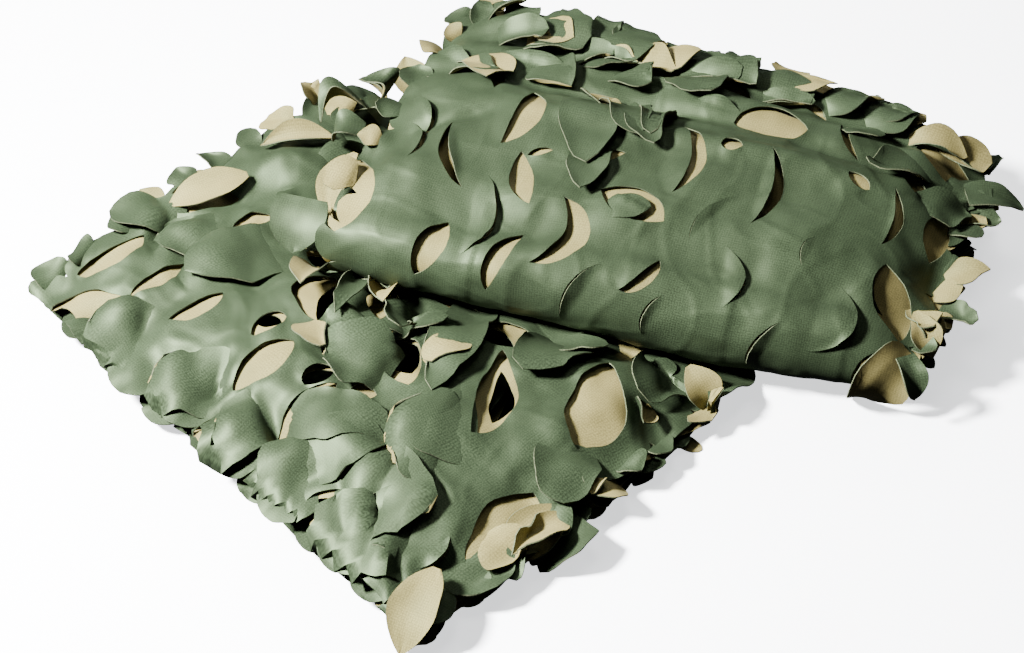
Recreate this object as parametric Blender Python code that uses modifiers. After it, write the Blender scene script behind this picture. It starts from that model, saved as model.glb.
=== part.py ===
"""A camouflage net of die-cut cloth, green on one face and tan on the other, folded for storage.

The cloth is folded back and forth into a strip as wide as one fold line. The strip makes a lower bundle,
runs on as a bridge, and makes an upper bundle that lies partly on the lower one. All of it is one sheet.
Sizes are in millimetres until the mesh is made.
"""
import math

import bmesh
import bpy
from mathutils import Vector, geometry, noise

# ---- sizes ------------------------------------------------------------------------------------
MM = 0.001
CLOTH = 2.0                  # thickness of the cloth with its backing net
WIDTH = 510.0                # length of a fold line
COLUMNS = 10                 # cells along a fold line
CENTRE = (12.0, 43.5)        # plan middle of the pile, which becomes the origin
GAP = 7.0                    # between the upper bundle's underside and what it lies on
RAMP = 120.0                 # over which the cloth comes down from the lower bundle to the table
PLAN_WAVE = 6.0              # how far a layer wanders sideways from its neighbours
FOLD_WAVE = 6.0              # how far a fold wanders from its line
WAVE_LENGTH = 110.0          # of both
LAYER_STEP = 5.0             # step through the noise from a bundle's lowest layer to its top one
OTHER_NOISE = 40.0           # offset to a second, unrelated noise
PUFF = 8.0                   # height of the low swells that all layers of a bundle share
PUFF_LENGTH = 120.0
LEAST_PILE = 20.0            # least height of the upper bundle's top over what it lies on
FRONT_BOW = 29.0             # how far the upper bundle's front stands out at most
BOW_PLACE = 0.2              # where along its fold line, and over what share of it
BOW_REACH = 0.38
PRESS = 22.0                 # how far the upper bundle presses the lower one down
PRESS_REACH = 85.0           # over how much cloth in front of the upper bundle
PRESS_SIDE = 0.16            # share of the upper fold line over which it fades past the left end
# Share of a bundle's height by which its layers sink at its left end and at its right end.
DRAPE = {"lower": (0.1, 0.6), "upper": (0.12, 0.4)}
DRAPE_REACH = 70.0           # how far in from the strip's cut edges
DRAPE_PAST = 0.02            # share of the width past those edges where it is complete
SCALLOP = 74.0               # width of the leaf ends along the strip's cut edges
SCALLOP_DEPTH = 16.0
SCALLOP_ROUND = 1.5          # higher makes the notches between the leaf ends sharper
SCALLOP_SHARE = 0.35         # share of the depth that stands out past the full width
SCALLOP_DRIFT = 3.0          # how much the leaf ends' widths vary, and over what length
DRIFT_LENGTH = 160.0
DRIFT_SLICE = 0.7            # the slice of noise that is read for it
SCALLOP_SHIFT = 2.0          # sets the two edges' leaf ends apart, as an angle
SCALLOP_CELL = 24.0          # a cell along those edges

# Plan ends of the lines that the cloth folds at, left end and right end.
LINES = {
    "lower_front": ((-430.0, 73.0), (-80.0, -300.0)),
    "lower_back": ((-182.0, 309.0), (168.0, -64.0)),
    "upper_front": ((-150.0, 108.0), (345.0, -36.0)),
    "upper_back": ((-42.0, 378.0), (446.0, 212.0)),
}

# Height of each bundle's top: share of the depth from its front line, then at left end, middle, right end.
LOWER_TOP = [
    (0.00, 26.0, 36.0, 31.0),
    (0.25, 42.0, 54.0, 44.0),
    (0.50, 54.0, 62.0, 52.0),
    (0.75, 64.0, 60.0, 48.0),
    (1.00, 72.0, 50.0, 36.0),
]
UPPER_TOP = [
    (0.00, 112.0, 106.0, 72.0),
    (0.20, 126.0, 122.0, 88.0),
    (0.55, 136.0, 130.0, 102.0),
    (0.76, 132.0, 124.0, 100.0),
    (0.84, 122.0, 112.0, 92.0),
    (0.93, 132.0, 122.0, 98.0),
    (1.00, 126.0, 114.0, 88.0),
]

# One row for each run of cloth between two lines, in the order that the cloth goes through the pile:
# name, bundle, level in it, first line, past it by, last line, past it by, flat length, cells.
RUNS = [
    ("lower_1", "lower", 0.00, "lower_front", -8.0, "lower_back", 0.0, 322.0, 5),
    ("lower_2", "lower", 0.25, "lower_back", 0.0, "lower_front", -6.0, 324.0, 5),
    ("lower_3", "lower", 0.50, "lower_front", -6.0, "lower_back", -5.0, 319.0, 5),
    ("lower_4", "lower", 0.75, "lower_back", -5.0, "lower_front", 0.0, 325.0, 5),
    ("lower_5", "lower", 1.00, "lower_front", 0.0, "lower_back", 0.0, 330.0, 10),
    ("bridge", "bridge", 0.00, "lower_back", 0.0, "upper_back", 0.0, 270.0, 5),
    ("upper_1", "upper", 0.00, "upper_back", 0.0, "upper_front", -6.0, 280.0, 6),
    ("upper_2", "upper", 1.00, "upper_front", -6.0, "upper_back", 0.0, 300.0, 12),
    ("upper_3", "upper", 6 / 7, "upper_back", 0.0, "upper_front", -6.0, 268.0, 6),
    ("upper_4", "upper", 1 / 7, "upper_front", -6.0, "upper_back", -9.0, 259.0, 6),
    ("upper_5", "upper", 2 / 7, "upper_back", -9.0, "upper_front", -16.0, 267.0, 6),
    ("upper_6", "upper", 3 / 7, "upper_front", -16.0, "upper_back", 0.0, 276.0, 6),
    ("upper_7", "upper", 4 / 7, "upper_back", 0.0, "upper_front", -18.0, 268.0, 6),
    ("upper_8", "upper", 5 / 7, "upper_front", -18.0, "upper_back", -14.0, 254.0, 6),
]
SMALL_FOLD = (3, 1.0)        # cells round a fold, and how far it stands out as a share of its half height
# The two big folds at the front of the upper bundle, one inside the other, by the run that ends in each.
WRAPS = {"upper_1": (7, 1.0), "upper_3": (6, 1.14)}


def mix(a, b, t):
    return a + (b - a) * t


def smooth(t):
    t = min(1.0, max(0.0, t))
    return t * t * (3.0 - 2.0 * t)


def outward(name):
    """Unit plan direction that leads out of the bundle over a fold line."""
    (ax, ay), (bx, by) = LINES[name]
    length = math.hypot(bx - ax, by - ay)
    side = 1.0 if name.endswith("back") else -1.0
    return -(by - ay) / length * side, (bx - ax) / length * side


def front_bow(u):
    return FRONT_BOW * math.exp(-((u - BOW_PLACE) / BOW_REACH) ** 2)


def on_line(name, u, past):
    """Plan point at share u of a fold line, moved past it by some millimetres and its own wave."""
    (ax, ay), (bx, by) = LINES[name]
    nx, ny = outward(name)
    past += FOLD_WAVE * noise.noise(Vector((u * WIDTH / WAVE_LENGTH, past, ax)))
    if name == "upper_front":
        past += front_bow(u)
    return mix(ax, bx, u) + nx * past, mix(ay, by, u) + ny * past


def table_height(table, f, u):
    """Height read from a table of depth shares, smoothed between its rows and along the fold line."""
    f = min(table[-1][0], max(table[0][0], f))
    u = min(1.0, max(0.0, u))
    for low, high in zip(table, table[1:]):
        if f <= high[0]:
            t = smooth((f - low[0]) / (high[0] - low[0]))
            left, middle, right = (mix(a, b, t) for a, b in zip(low[1:], high[1:]))
            break
    if u < 0.5:
        return mix(left, middle, smooth(u * 2.0))
    return mix(middle, right, smooth(u * 2.0 - 1.0))


def lower_shares(x, y):
    """Depth share and along share of a plan point over the lower bundle, past 0 to 1 outside it."""
    ax, ay = LINES["lower_front"][0]
    bx, by = LINES["lower_front"][1]
    cx, cy = LINES["lower_back"][0]
    ux, uy, fx, fy = bx - ax, by - ay, cx - ax, cy - ay
    det = ux * fy - uy * fx
    px, py = x - ax, y - ay
    return (ux * py - uy * px) / det, (px * fy - py * fx) / det


def swell(x, y):
    return PUFF * noise.noise(Vector((x / PUFF_LENGTH, y / PUFF_LENGTH, 0.3)))


def pressed(x, y):
    """How far the upper bundle's weight has pushed the lower one's top down."""
    (ax, ay), (bx, by) = LINES["upper_front"]
    nx, ny = outward("upper_front")
    u = ((x - ax) * (bx - ax) + (y - ay) * (by - ay)) / ((bx - ax) ** 2 + (by - ay) ** 2)
    ahead = (x - ax) * nx + (y - ay) * ny - front_bow(u)
    return PRESS * smooth(1.0 - ahead / PRESS_REACH) * smooth(1.0 + u / PRESS_SIDE)


def lower_top(x, y):
    f, u = lower_shares(x, y)
    return table_height(LOWER_TOP, f, u) + swell(x, y) - pressed(x, y)


def rest_height(x, y):
    """Height of what lies under the upper bundle, with the gap: the lower bundle, a ramp or the table."""
    f, u = lower_shares(x, y)
    depth = math.hypot(LINES["lower_back"][0][0] - LINES["lower_front"][0][0],
                       LINES["lower_back"][0][1] - LINES["lower_front"][0][1])
    past = max(0.0, (f - 1.0) * depth)
    drop = smooth(past / RAMP)
    return mix(lower_top(x, y), CLOTH / 2, drop) + GAP


def upper_top(f, u, x, y):
    return table_height(UPPER_TOP, f, u) + swell(x, y)


def drape(bundle, u):
    """Share of its height that a bundle keeps: less near the cut edges, where its layers hang down."""
    left, right = DRAPE[bundle]
    reach = DRAPE_REACH / WIDTH
    near_left = smooth(1.0 - (u + DRAPE_PAST) / reach)
    near_right = smooth(1.0 - (1.0 + DRAPE_PAST - u) / reach)
    return 1.0 - left * near_left - right * near_right


def height(bundle, level, f, u, x, y):
    if bundle == "bridge":
        return rest_height(x, y) - GAP
    if bundle == "lower":
        low, top = CLOTH / 2, lower_top(x, y)
    else:
        low = rest_height(x, y)
        top = max(upper_top(f, u, x, y), low + LEAST_PILE)
    return mix(low, top, level * drape(bundle, u))


def wander(x, y, level):
    """Sideways drift of a layer, so that the layers' edges don't lie exactly over each other."""
    place = Vector((x / WAVE_LENGTH, y / WAVE_LENGTH, level * LAYER_STEP))
    other = place + Vector((0.0, 0.0, OTHER_NOISE))
    return PLAN_WAVE * noise.noise(place), PLAN_WAVE * noise.noise(other)


def run_point(run, t, u):
    """A point of a run: t goes from its first line to its last, u along the fold line."""
    _, bundle, level, first, past_first, last, past_last, _, _ = run
    ax, ay = on_line(first, u, past_first)
    bx, by = on_line(last, u, past_last)
    x, y = mix(ax, bx, t), mix(ay, by, t)
    f = t if last.endswith("back") else 1.0 - t
    z = height(bundle, level, f, u, x, y)
    dx, dy = wander(x, y, level)
    return Vector((x + dx, y + dy, z))


def bend_point(run, following, t, u):
    """A point of the fold between two runs: a half round that stands out past the fold line."""
    a = run_point(run, 1.0, u)
    b = run_point(following, 0.0, u)
    ox, oy = outward(run[5])
    half = abs(b.z - a.z) / 2.0
    angle = math.pi * t
    middle = (a + b) / 2.0
    stand = half * WRAPS.get(run[0], SMALL_FOLD)[1] * math.sin(angle)
    along = a.lerp(b, 0.5 - 0.5 * math.cos(angle))
    z = middle.z + (a.z - middle.z) * math.cos(angle)
    return Vector((along.x + ox * stand, along.y + oy * stand, z))


def folds_over(following):
    """The cloth folds back over itself before each run but the bridge, which runs straight on."""
    return following[0] != "bridge"


def stations():
    """The sheet's flat layout: for each stretch its start, its length, its cells and what it belongs to."""
    rows, start = [], 0.0
    for index, run in enumerate(RUNS):
        rows.append((start, run[7], run[8], "run", index))
        start += run[7]
        if index + 1 < len(RUNS) and folds_over(RUNS[index + 1]):
            rise = (run_point(RUNS[index + 1], 0.0, 0.5) - run_point(run, 1.0, 0.5)).length
            steps, bulge = WRAPS.get(run[0], SMALL_FOLD)
            length = math.pi * rise / 2.0 * (0.5 + 0.5 * bulge)
            rows.append((start, length, steps, "bend", index))
            start += length
    return rows


STATIONS = stations()
LENGTH = STATIONS[-1][0] + STATIONS[-1][1]


def sheet_point(s, w):
    """Where the flat point lies in the folded pile: s along the strip, w along the fold line."""
    u = w / WIDTH
    for start, length, _, kind, index in STATIONS:
        if s <= start + length or index == len(RUNS) - 1:
            t = (s - start) / length
            if kind == "run":
                return run_point(RUNS[index], t, u)
            return bend_point(RUNS[index], RUNS[index + 1], t, u)


# ---- cuts --------------------------------------------------------------------------------------
# Cuts through the two runs that lie on top. Each is a leaf or crescent between two arcs on one chord, and
# the cloth beside its second arc is lifted. Columns: run, mm from the run's first line, mm along the fold
# line, turn of the chord from the strip's length in degrees, chord, bow of the first arc, bow of the second,
# lift.
CUTS = [
    ("upper_2", 12, 27, 172, 80, 20, -14, 0),
    ("upper_2", 140, 110, -179, 70, 2, -20, 6),
    ("upper_2", 78, 81, 151, 84, 18, 9, 8),
    ("upper_2", 68, 146, 153, 60, 12, -7, 6),
    ("upper_2", 163, 178, 126, 58, -14, 14, 6),
    ("upper_2", 56, 245, 110, 64, -16, 14, 8),
    ("upper_2", -23, 92, -166, 66, 12, -12, 6),
    ("upper_2", -21, 150, -164, 62, 12, -3, 4),
    ("upper_2", 15, 192, -173, 70, -8, -26, 8),
    ("upper_2", 123, 264, 171, 82, -22, -9, 6),
    ("upper_2", 107, 341, 176, 92, -22, -10, 10),
    ("upper_2", 121, 446, 178, 76, -14, -4, 8),
    ("upper_2", 138, 481, -175, 56, 12, -6, 4),
    ("upper_2", 33, 471, 160, 72, 16, -16, 8),
    ("upper_2", 207, 323, 75, 58, -20, 18, 4),
    ("upper_2", 223, 395, 154, 58, 13, 2, 6),
    ("upper_2", 242, 466, 130, 66, -14, 16, 4),
    ("upper_2", 219, 92, 100, 70, -12, -2, 8),
    ("upper_2", 256, 180, 80, 56, -9, 9, 0),
    ("upper_2", 256, 264, 95, 50, -9, 10, 0),
    ("lower_5", 162, 28, 15, 70, -14, 13, 6),
    ("lower_5", 68, 22, 10, 64, -11, 13, 6),
    ("lower_5", 18, 40, 30, 62, -10, 15, 0),
    ("lower_5", 72, 144, 10, 46, -8, 7, 4),
    ("lower_5", 73, 236, 0, 62, -17, 17, 6),
    ("lower_5", 69, 302, 5, 62, -12, 12, 6),
    ("lower_5", 92, 83, 15, 54, -8, 8, 6),
    ("lower_5", 160, 211, -25, 76, -16, 17, 8),
    ("lower_5", 196, 256, -40, 62, -7, 10, 6),
    ("lower_5", 246, 290, 70, 70, -3, 14, 0),
    ("lower_5", 232, 347, 60, 58, -14, 14, 0),
    ("lower_5", 186, 402, 150, 98, 15, -18, 8),
    ("lower_5", 154, 318, 110, 68, -15, 15, 8),
    ("lower_5", 243, 459, 150, 96, -16, 16, 6),
    ("lower_5", 98, 479, 150, 70, -14, 12, 4),
    ("lower_5", 24, 389, 5, 52, -10, 6, 6),
    ("lower_5", 14, 254, 10, 46, -8, 8, 4),
    ("lower_5", 62, 367, 20, 70, -2, 14, 8),
    ("lower_5", 110, 175, 95, 50, -6, 6, 6),
    ("lower_5", 190, 121, -5, 48, -10, 8, 0),
    ("lower_5", 40, 467, 110, 56, -8, 8, 4),
    ("lower_5", 22, 183, -40, 50, -8, 7, 4),
]
# The regular repeat of leaves on the runs that lie inside.
LEAF_CHORD = 70.0
LEAF_BOW = 13.0
LEAF_PITCH = (100.0, 118.0)  # along the strip, across it
LEAF_TURNS = (20.0, -50.0, 75.0, -15.0, 50.0)
LEAF_MARGIN = (42.0, 54.0)   # from the middle of a leaf to the run's fold, to the strip's edge
ARC_CELL = 26.0              # a cell along the arcs of a cut
LIFT_REACH = 30.0            # how far from its edge the cloth beside a cut is lifted
LIFT_FROM = 0.2              # share of that edge's bow from which the cloth counts as beside it
CLEAR = 8.0                  # bare cloth kept between a cut and a grid point


def arc(chord, bow, steps):
    """Points of an arc over a chord that is centred on the origin, from its left end to its right end."""
    if abs(bow) < 0.01:
        return [(-chord / 2, 0.0), (chord / 2, 0.0)]
    radius = (chord * chord / 4 + bow * bow) / (2 * abs(bow))
    half = math.asin(min(1.0, chord / 2 / radius))
    if abs(bow) > chord / 2:
        half = math.pi - half
    side = math.copysign(1.0, bow)
    points = []
    for step in range(steps + 1):
        angle = mix(-half, half, step / steps)
        points.append((radius * math.sin(angle), side * (radius * math.cos(angle) - radius + abs(bow))))
    return points


def run_start(run_name):
    return next(s for s, _, _, kind, i in STATIONS if kind == "run" and RUNS[i][0] == run_name)


def leaf_repeat():
    """Rows like those of CUTS for the runs that it leaves out, staggered from row to row."""
    rows, cut_runs, count = [], {row[0] for row in CUTS}, 0
    for run in RUNS:
        if run[0] in cut_runs:
            continue
        lines = int((run[7] - 2 * LEAF_MARGIN[0]) / LEAF_PITCH[0]) + 1
        first = (run[7] - (lines - 1) * LEAF_PITCH[0]) / 2
        for line in range(lines):
            across = LEAF_MARGIN[1] + (line % 2) * LEAF_PITCH[1] / 2
            while across < WIDTH - LEAF_MARGIN[1]:
                along = first + line * LEAF_PITCH[0]
                turn = LEAF_TURNS[count % len(LEAF_TURNS)]
                rows.append((run[0], along, across, turn, LEAF_CHORD, -LEAF_BOW, LEAF_BOW, 0))
                across += LEAF_PITCH[1]
                count += 1
    return rows


def cut_outline(row):
    """Flat outline of a cut, in sheet millimetres."""
    run_name, along, across, turn, chord, bow_a, bow_b, _ = row
    start = run_start(run_name)
    steps = max(3, round(chord / ARC_CELL))
    ring = arc(chord, bow_b, steps) + arc(chord, bow_a, steps)[-2:0:-1]
    c, s = math.cos(math.radians(turn)), math.sin(math.radians(turn))
    return [(start + along + x * c - y * s, across + x * s + y * c) for x, y in ring]


def lift_at(point):
    """How far the cloth is lifted at a flat point by the cuts near it."""
    lift = 0.0
    for run_name, along, across, turn, chord, bow_a, bow_b, rise in CUTS:
        if not rise:
            continue
        c, s = math.cos(math.radians(turn)), math.sin(math.radians(turn))
        ds, dw = point[0] - run_start(run_name) - along, point[1] - across
        x, y = ds * c + dw * s, dw * c - ds * s
        side = 1.0 if bow_b > bow_a else -1.0
        if abs(x) < chord / 2 and y * side > bow_b * side * LIFT_FROM:
            far = max(0.0, (y - bow_b) * side)
            lift = max(lift, rise * smooth(1.0 - far / LIFT_REACH) * math.cos(math.pi * x / chord))
    return lift


def edge_wave(s, side):
    """How far a cut edge of the strip stands in from its full width, in the round ends of leaves."""
    swing = SCALLOP_DRIFT * noise.noise(Vector((s / DRIFT_LENGTH, side * OTHER_NOISE, DRIFT_SLICE)))
    wave = abs(math.cos(math.pi * s / SCALLOP + side * SCALLOP_SHIFT + swing)) ** SCALLOP_ROUND
    return SCALLOP_DEPTH * (wave - SCALLOP_SHARE)


def inside(point, ring):
    x, y = point
    found = False
    for (ax, ay), (bx, by) in zip(ring, ring[1:] + ring[:1]):
        if (ay > y) != (by > y) and x < (bx - ax) * (y - ay) / (by - ay) + ax:
            found = not found
    return found


def near(point, ring, reach):
    return any(math.hypot(point[0] - x, point[1] - y) < reach for x, y in ring)


def flat_pattern():
    """The strip laid flat and cut out: its points and its triangles."""
    rows, edge_rows = [], []
    for start, length, cells, _, _ in STATIONS:
        rows += [start + length * i / cells for i in range(cells)]
        fine = cells * max(1, round(length / cells / SCALLOP_CELL))
        edge_rows += [start + length * i / fine for i in range(fine)]
    rows.append(LENGTH)
    edge_rows.append(LENGTH)
    rings = [cut_outline(row) for row in CUTS + leaf_repeat()]
    left = [(s, edge_wave(s, 0)) for s in edge_rows]
    right = [(s, WIDTH - edge_wave(s, 1)) for s in edge_rows]
    bottom = [(0.0, WIDTH * j / COLUMNS) for j in range(1, COLUMNS)]
    top = [(LENGTH, WIDTH * j / COLUMNS) for j in range(1, COLUMNS)]
    border = left + top + right[::-1] + bottom[::-1]
    points, edges = list(border), []
    edges += [(i, (i + 1) % len(border)) for i in range(len(border))]
    for ring in rings:
        first = len(points)
        points += ring
        edges += [(first + i, first + (i + 1) % len(ring)) for i in range(len(ring))]
    spans = [(min(p[0] for p in ring) - CLEAR, max(p[0] for p in ring) + CLEAR) for ring in rings]
    for s in rows[1:-1]:
        close = [ring for ring, span in zip(rings, spans) if span[0] < s < span[1]]
        for j in range(1, COLUMNS):
            point = (s, WIDTH * j / COLUMNS)
            if not any(inside(point, ring) or near(point, ring, CLEAR) for ring in close):
                points.append(point)
    flat = [Vector(p) for p in points]
    found, _, triangles, _, _, _ = geometry.delaunay_2d_cdt(flat, edges, [], 0, 1e-5)
    kept = []
    for triangle in triangles:
        middle = sum((found[i] for i in triangle), Vector((0.0, 0.0))) / 3.0
        if inside(middle, border) and not any(inside(middle, ring) for ring in rings):
            kept.append(triangle)
    return found, kept


def outer_normal(point):
    """Direction out of the green face at a flat point."""
    step = 1.0
    along = sheet_point(point.x + step, point.y) - sheet_point(point.x - step, point.y)
    across = sheet_point(point.x, point.y + step) - sheet_point(point.x, point.y - step)
    return across.cross(along).normalized()


def make_net():
    flat, triangles = flat_pattern()
    bm = bmesh.new()
    verts = []
    for point in flat:
        place = sheet_point(point.x, point.y) + outer_normal(point) * lift_at(point)
        verts.append(bm.verts.new((place - Vector((CENTRE[0], CENTRE[1], 0.0))) * MM))
    for triangle in triangles:
        bm.faces.new([verts[i] for i in triangle])
    bmesh.ops.delete(bm, geom=[v for v in bm.verts if not v.link_faces], context="VERTS")
    bmesh.ops.recalc_face_normals(bm, faces=bm.faces)
    mesh = bpy.data.meshes.new("net")
    bm.to_mesh(mesh)
    bm.free()
    net = bpy.data.objects.new("net", mesh)
    thick = net.modifiers.new("cloth", "SOLIDIFY")
    thick.thickness = CLOTH * MM
    thick.offset = 0.0
    thick.use_even_offset = False
    return net


def green_cloth():
    material = bpy.data.materials.new("green cloth")
    material.use_nodes = True
    shader = material.node_tree.nodes["Principled BSDF"]
    shader.inputs["Base Color"].default_value = (0.09, 0.14, 0.085, 1.0)
    shader.inputs["Roughness"].default_value = 0.6
    shader.inputs["Metallic"].default_value = 0.0
    return material


def main():
    for old in list(bpy.data.objects):
        bpy.data.objects.remove(old, do_unlink=True)
    collection = bpy.data.collections.new("camouflage net")
    bpy.context.scene.collection.children.link(collection)
    net = make_net()
    net.data.materials.append(green_cloth())
    collection.objects.link(net)


main()
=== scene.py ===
import math
import time

import bmesh
import bpy
import numpy as np
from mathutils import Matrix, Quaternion, Vector, geometry, kdtree, noise


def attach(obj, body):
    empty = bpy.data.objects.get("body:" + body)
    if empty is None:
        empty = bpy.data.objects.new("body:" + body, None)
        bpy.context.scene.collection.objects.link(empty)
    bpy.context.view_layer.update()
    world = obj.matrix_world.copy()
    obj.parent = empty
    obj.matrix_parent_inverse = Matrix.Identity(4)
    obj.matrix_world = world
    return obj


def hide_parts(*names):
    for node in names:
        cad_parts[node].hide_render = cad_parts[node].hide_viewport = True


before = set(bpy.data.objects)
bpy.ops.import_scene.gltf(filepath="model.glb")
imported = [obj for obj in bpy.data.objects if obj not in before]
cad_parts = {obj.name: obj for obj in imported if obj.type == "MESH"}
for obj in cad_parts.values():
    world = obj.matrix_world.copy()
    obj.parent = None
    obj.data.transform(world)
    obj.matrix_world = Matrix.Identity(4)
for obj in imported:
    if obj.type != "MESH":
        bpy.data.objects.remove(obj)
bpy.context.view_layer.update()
began = time.time()
mm = 0.001


def report(stage):
    print("%5.1f s  %s" % (time.time() - began, stage))


# the folded pile: the same lines, heights and runs as the solid, in millimetres
pile = {
    "width": 510.0,  # length of a fold line
    "centre": (12.0, 43.5),  # plan middle of the pile
    "table": 0.5,  # middle of the cloth that lies on the table
    "gap": 7.0,  # under the upper bundle
    "ramp": 120.0,  # from the lower bundle down to the table
    "planWave": 6.0,
    "foldWave": 6.0,
    "waveLength": 110.0,
    "waveSlices": (5.0, 40.0),  # how far apart the layers and the two directions are read in the noise
    "puff": 8.0,
    "puffLength": 120.0,
    "puffSlice": 0.3,
    "frontBow": 29.0,  # how far the upper bundle's front stands out at most
    "bowPlace": 0.2,  # where along its fold line, and over what share of it
    "bowReach": 0.38,
    "nearTop": 3.0,  # how close the second layer comes to the top where a leaf is open
    "leastUpper": 20.0,  # least height of the upper bundle
    "drape": {"lower": (0.1, 0.6), "upper": (0.12, 0.4)},  # share of its height by which each end sinks
    "drapeReach": 70.0,
    "drapePast": 0.02,  # share of the fold line by which a layer may stand past its ends
    "moundScale": {"lower": 0.9, "upper": 1.3},
    "press": 22.0,  # how far the upper bundle presses the lower one down
    "pressReach": 85.0,  # over what reach in front of it
    "pressSide": 0.16,  # share of the fold line over which this fades past its left end
}

foldLines = {
    "lower_front": ((-430.0, 73.0), (-80.0, -300.0)),
    "lower_back": ((-182.0, 309.0), (168.0, -64.0)),
    "upper_front": ((-150.0, 108.0), (345.0, -36.0)),
    "upper_back": ((-42.0, 378.0), (446.0, 212.0)),
}

# depth share from the front line, then height at left end, middle, right end
lowerTop = [
    (0.00, 26.0, 36.0, 31.0),
    (0.25, 42.0, 54.0, 44.0),
    (0.50, 54.0, 62.0, 52.0),
    (0.75, 64.0, 60.0, 48.0),
    (1.00, 72.0, 50.0, 36.0),
]
upperTop = [
    (0.00, 112.0, 106.0, 72.0),
    (0.20, 126.0, 122.0, 88.0),
    (0.55, 136.0, 130.0, 102.0),
    (0.76, 132.0, 124.0, 100.0),
    (0.84, 122.0, 112.0, 92.0),
    (0.93, 132.0, 122.0, 98.0),
    (1.00, 126.0, 114.0, 88.0),
]

# name, bundle, level in it, first line, past it by, last line, past it by, flat length
runs = [
    ("lower_1", "lower", 0.00, "lower_front", -8.0, "lower_back", 0.0, 322.0),
    ("lower_2", "lower", 0.25, "lower_back", 0.0, "lower_front", -6.0, 324.0),
    ("lower_3", "lower", 0.50, "lower_front", -6.0, "lower_back", -5.0, 319.0),
    ("lower_4", "lower", 0.75, "lower_back", -5.0, "lower_front", 0.0, 325.0),
    ("lower_5", "lower", 1.00, "lower_front", 0.0, "lower_back", 0.0, 330.0),
    ("bridge", "bridge", 0.00, "lower_back", 0.0, "upper_back", 0.0, 270.0),
    ("upper_1", "upper", 0.00, "upper_back", 0.0, "upper_front", -6.0, 280.0),
    ("upper_2", "upper", 1.00, "upper_front", -6.0, "upper_back", 0.0, 300.0),
    ("upper_3", "upper", 6 / 7, "upper_back", 0.0, "upper_front", -6.0, 268.0),
    ("upper_4", "upper", 1 / 7, "upper_front", -6.0, "upper_back", -9.0, 259.0),
    ("upper_5", "upper", 2 / 7, "upper_back", -9.0, "upper_front", -16.0, 267.0),
    ("upper_6", "upper", 3 / 7, "upper_front", -16.0, "upper_back", 0.0, 276.0),
    ("upper_7", "upper", 4 / 7, "upper_back", 0.0, "upper_front", -18.0, 268.0),
    ("upper_8", "upper", 5 / 7, "upper_front", -18.0, "upper_back", -14.0, 254.0),
]
runNamed = {row[0]: row for row in runs}
topRuns = {"lower": "lower_5", "upper": "upper_2"}
secondLevels = {"lower": 0.75, "upper": 6 / 7}

# how far a fold stands out, as a share of half its height, where that isn't 1
bulges = {"upper_3": 1.14}

# open leaves of the two top runs: mm along the run, mm across, turn, chord, bow, other bow, how far the lip
# beside it lifts, and 1 where the layer below is drawn up to it
leaves = {
    "upper_2": [
        (13, 4, 172, 85, 24, -26, 3, 1), (138, 113, -179, 76, 2, -22, 3, 1),
        (68, 146, 153, 63, 13, -7, 3, 1), (98, 148, 66, 22, -5, 3, 2, 1),
        (167, 176, 126, 60, -18, 16, 4, 1), (102, 207, 38, 36, -12, 4, 3, 1),
        (55, 245, 110, 66, -18, 15, 4, 1), (-23, 92, -166, 68, 12, -13, 4, 1),
        (-23, 156, -164, 70, 14, -3, 4, 1), (15, 183, -173, 72, -16, -38, 4, 1),
        (-12, 271, -146, 45, -4, -15, 3, 1), (123, 264, 171, 88, -22, -9, 3, 1),
        (136, 495, -175, 67, 16, -9, 3, 1), (32, 476, 156, 74, 18, -18, 5, 1),
        (-48, 478, 31, 66, -13, 1, 3, 1), (207, 323, 75, 60, -23, 21, 3, 1),
        (259, 347, 121, 33, -7, 4, 2, 1), (223, 395, 154, 60, 13, 3, 3, 1),
        (244, 484, 130, 76, -22, 26, 3, 1), (185, 462, 149, 44, -11, 12, 3, 1),
        (148, 418, 121, 24, -8, 8, 2, 1), (146, 304, 86, 20, -8, 6, 2, 1), (248, 150, 46, 45, -12, 3, 4, 1),
        (260, 200, 84, 48, -8, 8, 4, 1), (256, 271, 100, 48, -9, 14, 4, 1), (259, 87, 54, 34, -7, 1, 2, 1),
        (191, 62, 143, 54, -16, 1, 3, 1),
    ],
    "lower_5": [
        (66, 22, 10, 65, -7, 22, 3, 1), (14, 50, 37, 70, -14, 26, 2, 1), (75, 80, 1, 60, -5, 14, 4, 1),
        (75, 140, 14, 47, -6, 13, 3, 1), (72, 243, 4, 60, -19, 17, 3, 1), (68, 304, 1, 64, -13, 9, 3, 1),
        (15, 251, 23, 47, -10, 16, 5, 1), (103, 211, 31, 33, -14, 11, 4, 1),
        (165, 218, -39, 84, -30, 21, 7, 1), (205, 158, 54, 36, -5, 16, 4, 1),
        (175, 92, 16, 42, -16, 3, 5, 1), (161, 26, 40, 66, -16, 17, 3, 1), (97, 288, 3, 30, -12, 9, 4, 0),
        (155, 311, 111, 72, 16, -24, 7, 1), (238, 349, 63, 69, -24, 18, 6, 1),
        (185, 394, 148, 95, -26, 8, 6, 1), (243, 459, -33, 97, -22, 23, 4, 1),
        (109, 328, 40, 26, -9, 10, 3, 1), (63, 374, 13, 51, -2, 17, 5, 0),
        (197, 251, -36, 60, -13, 10, 4, 1), (243, 270, 71, 84, -6, 14, 4, 1),
        (14, 386, 11, 55, -15, 11, 5, 1), (20, 490, 15, 60, -3, 27, 3, 1),
        (111, 492, -7, 80, -20, 30, 2, 1), (181, 519, 22, 40, -12, 22, 2, 1),
    ],
}

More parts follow.
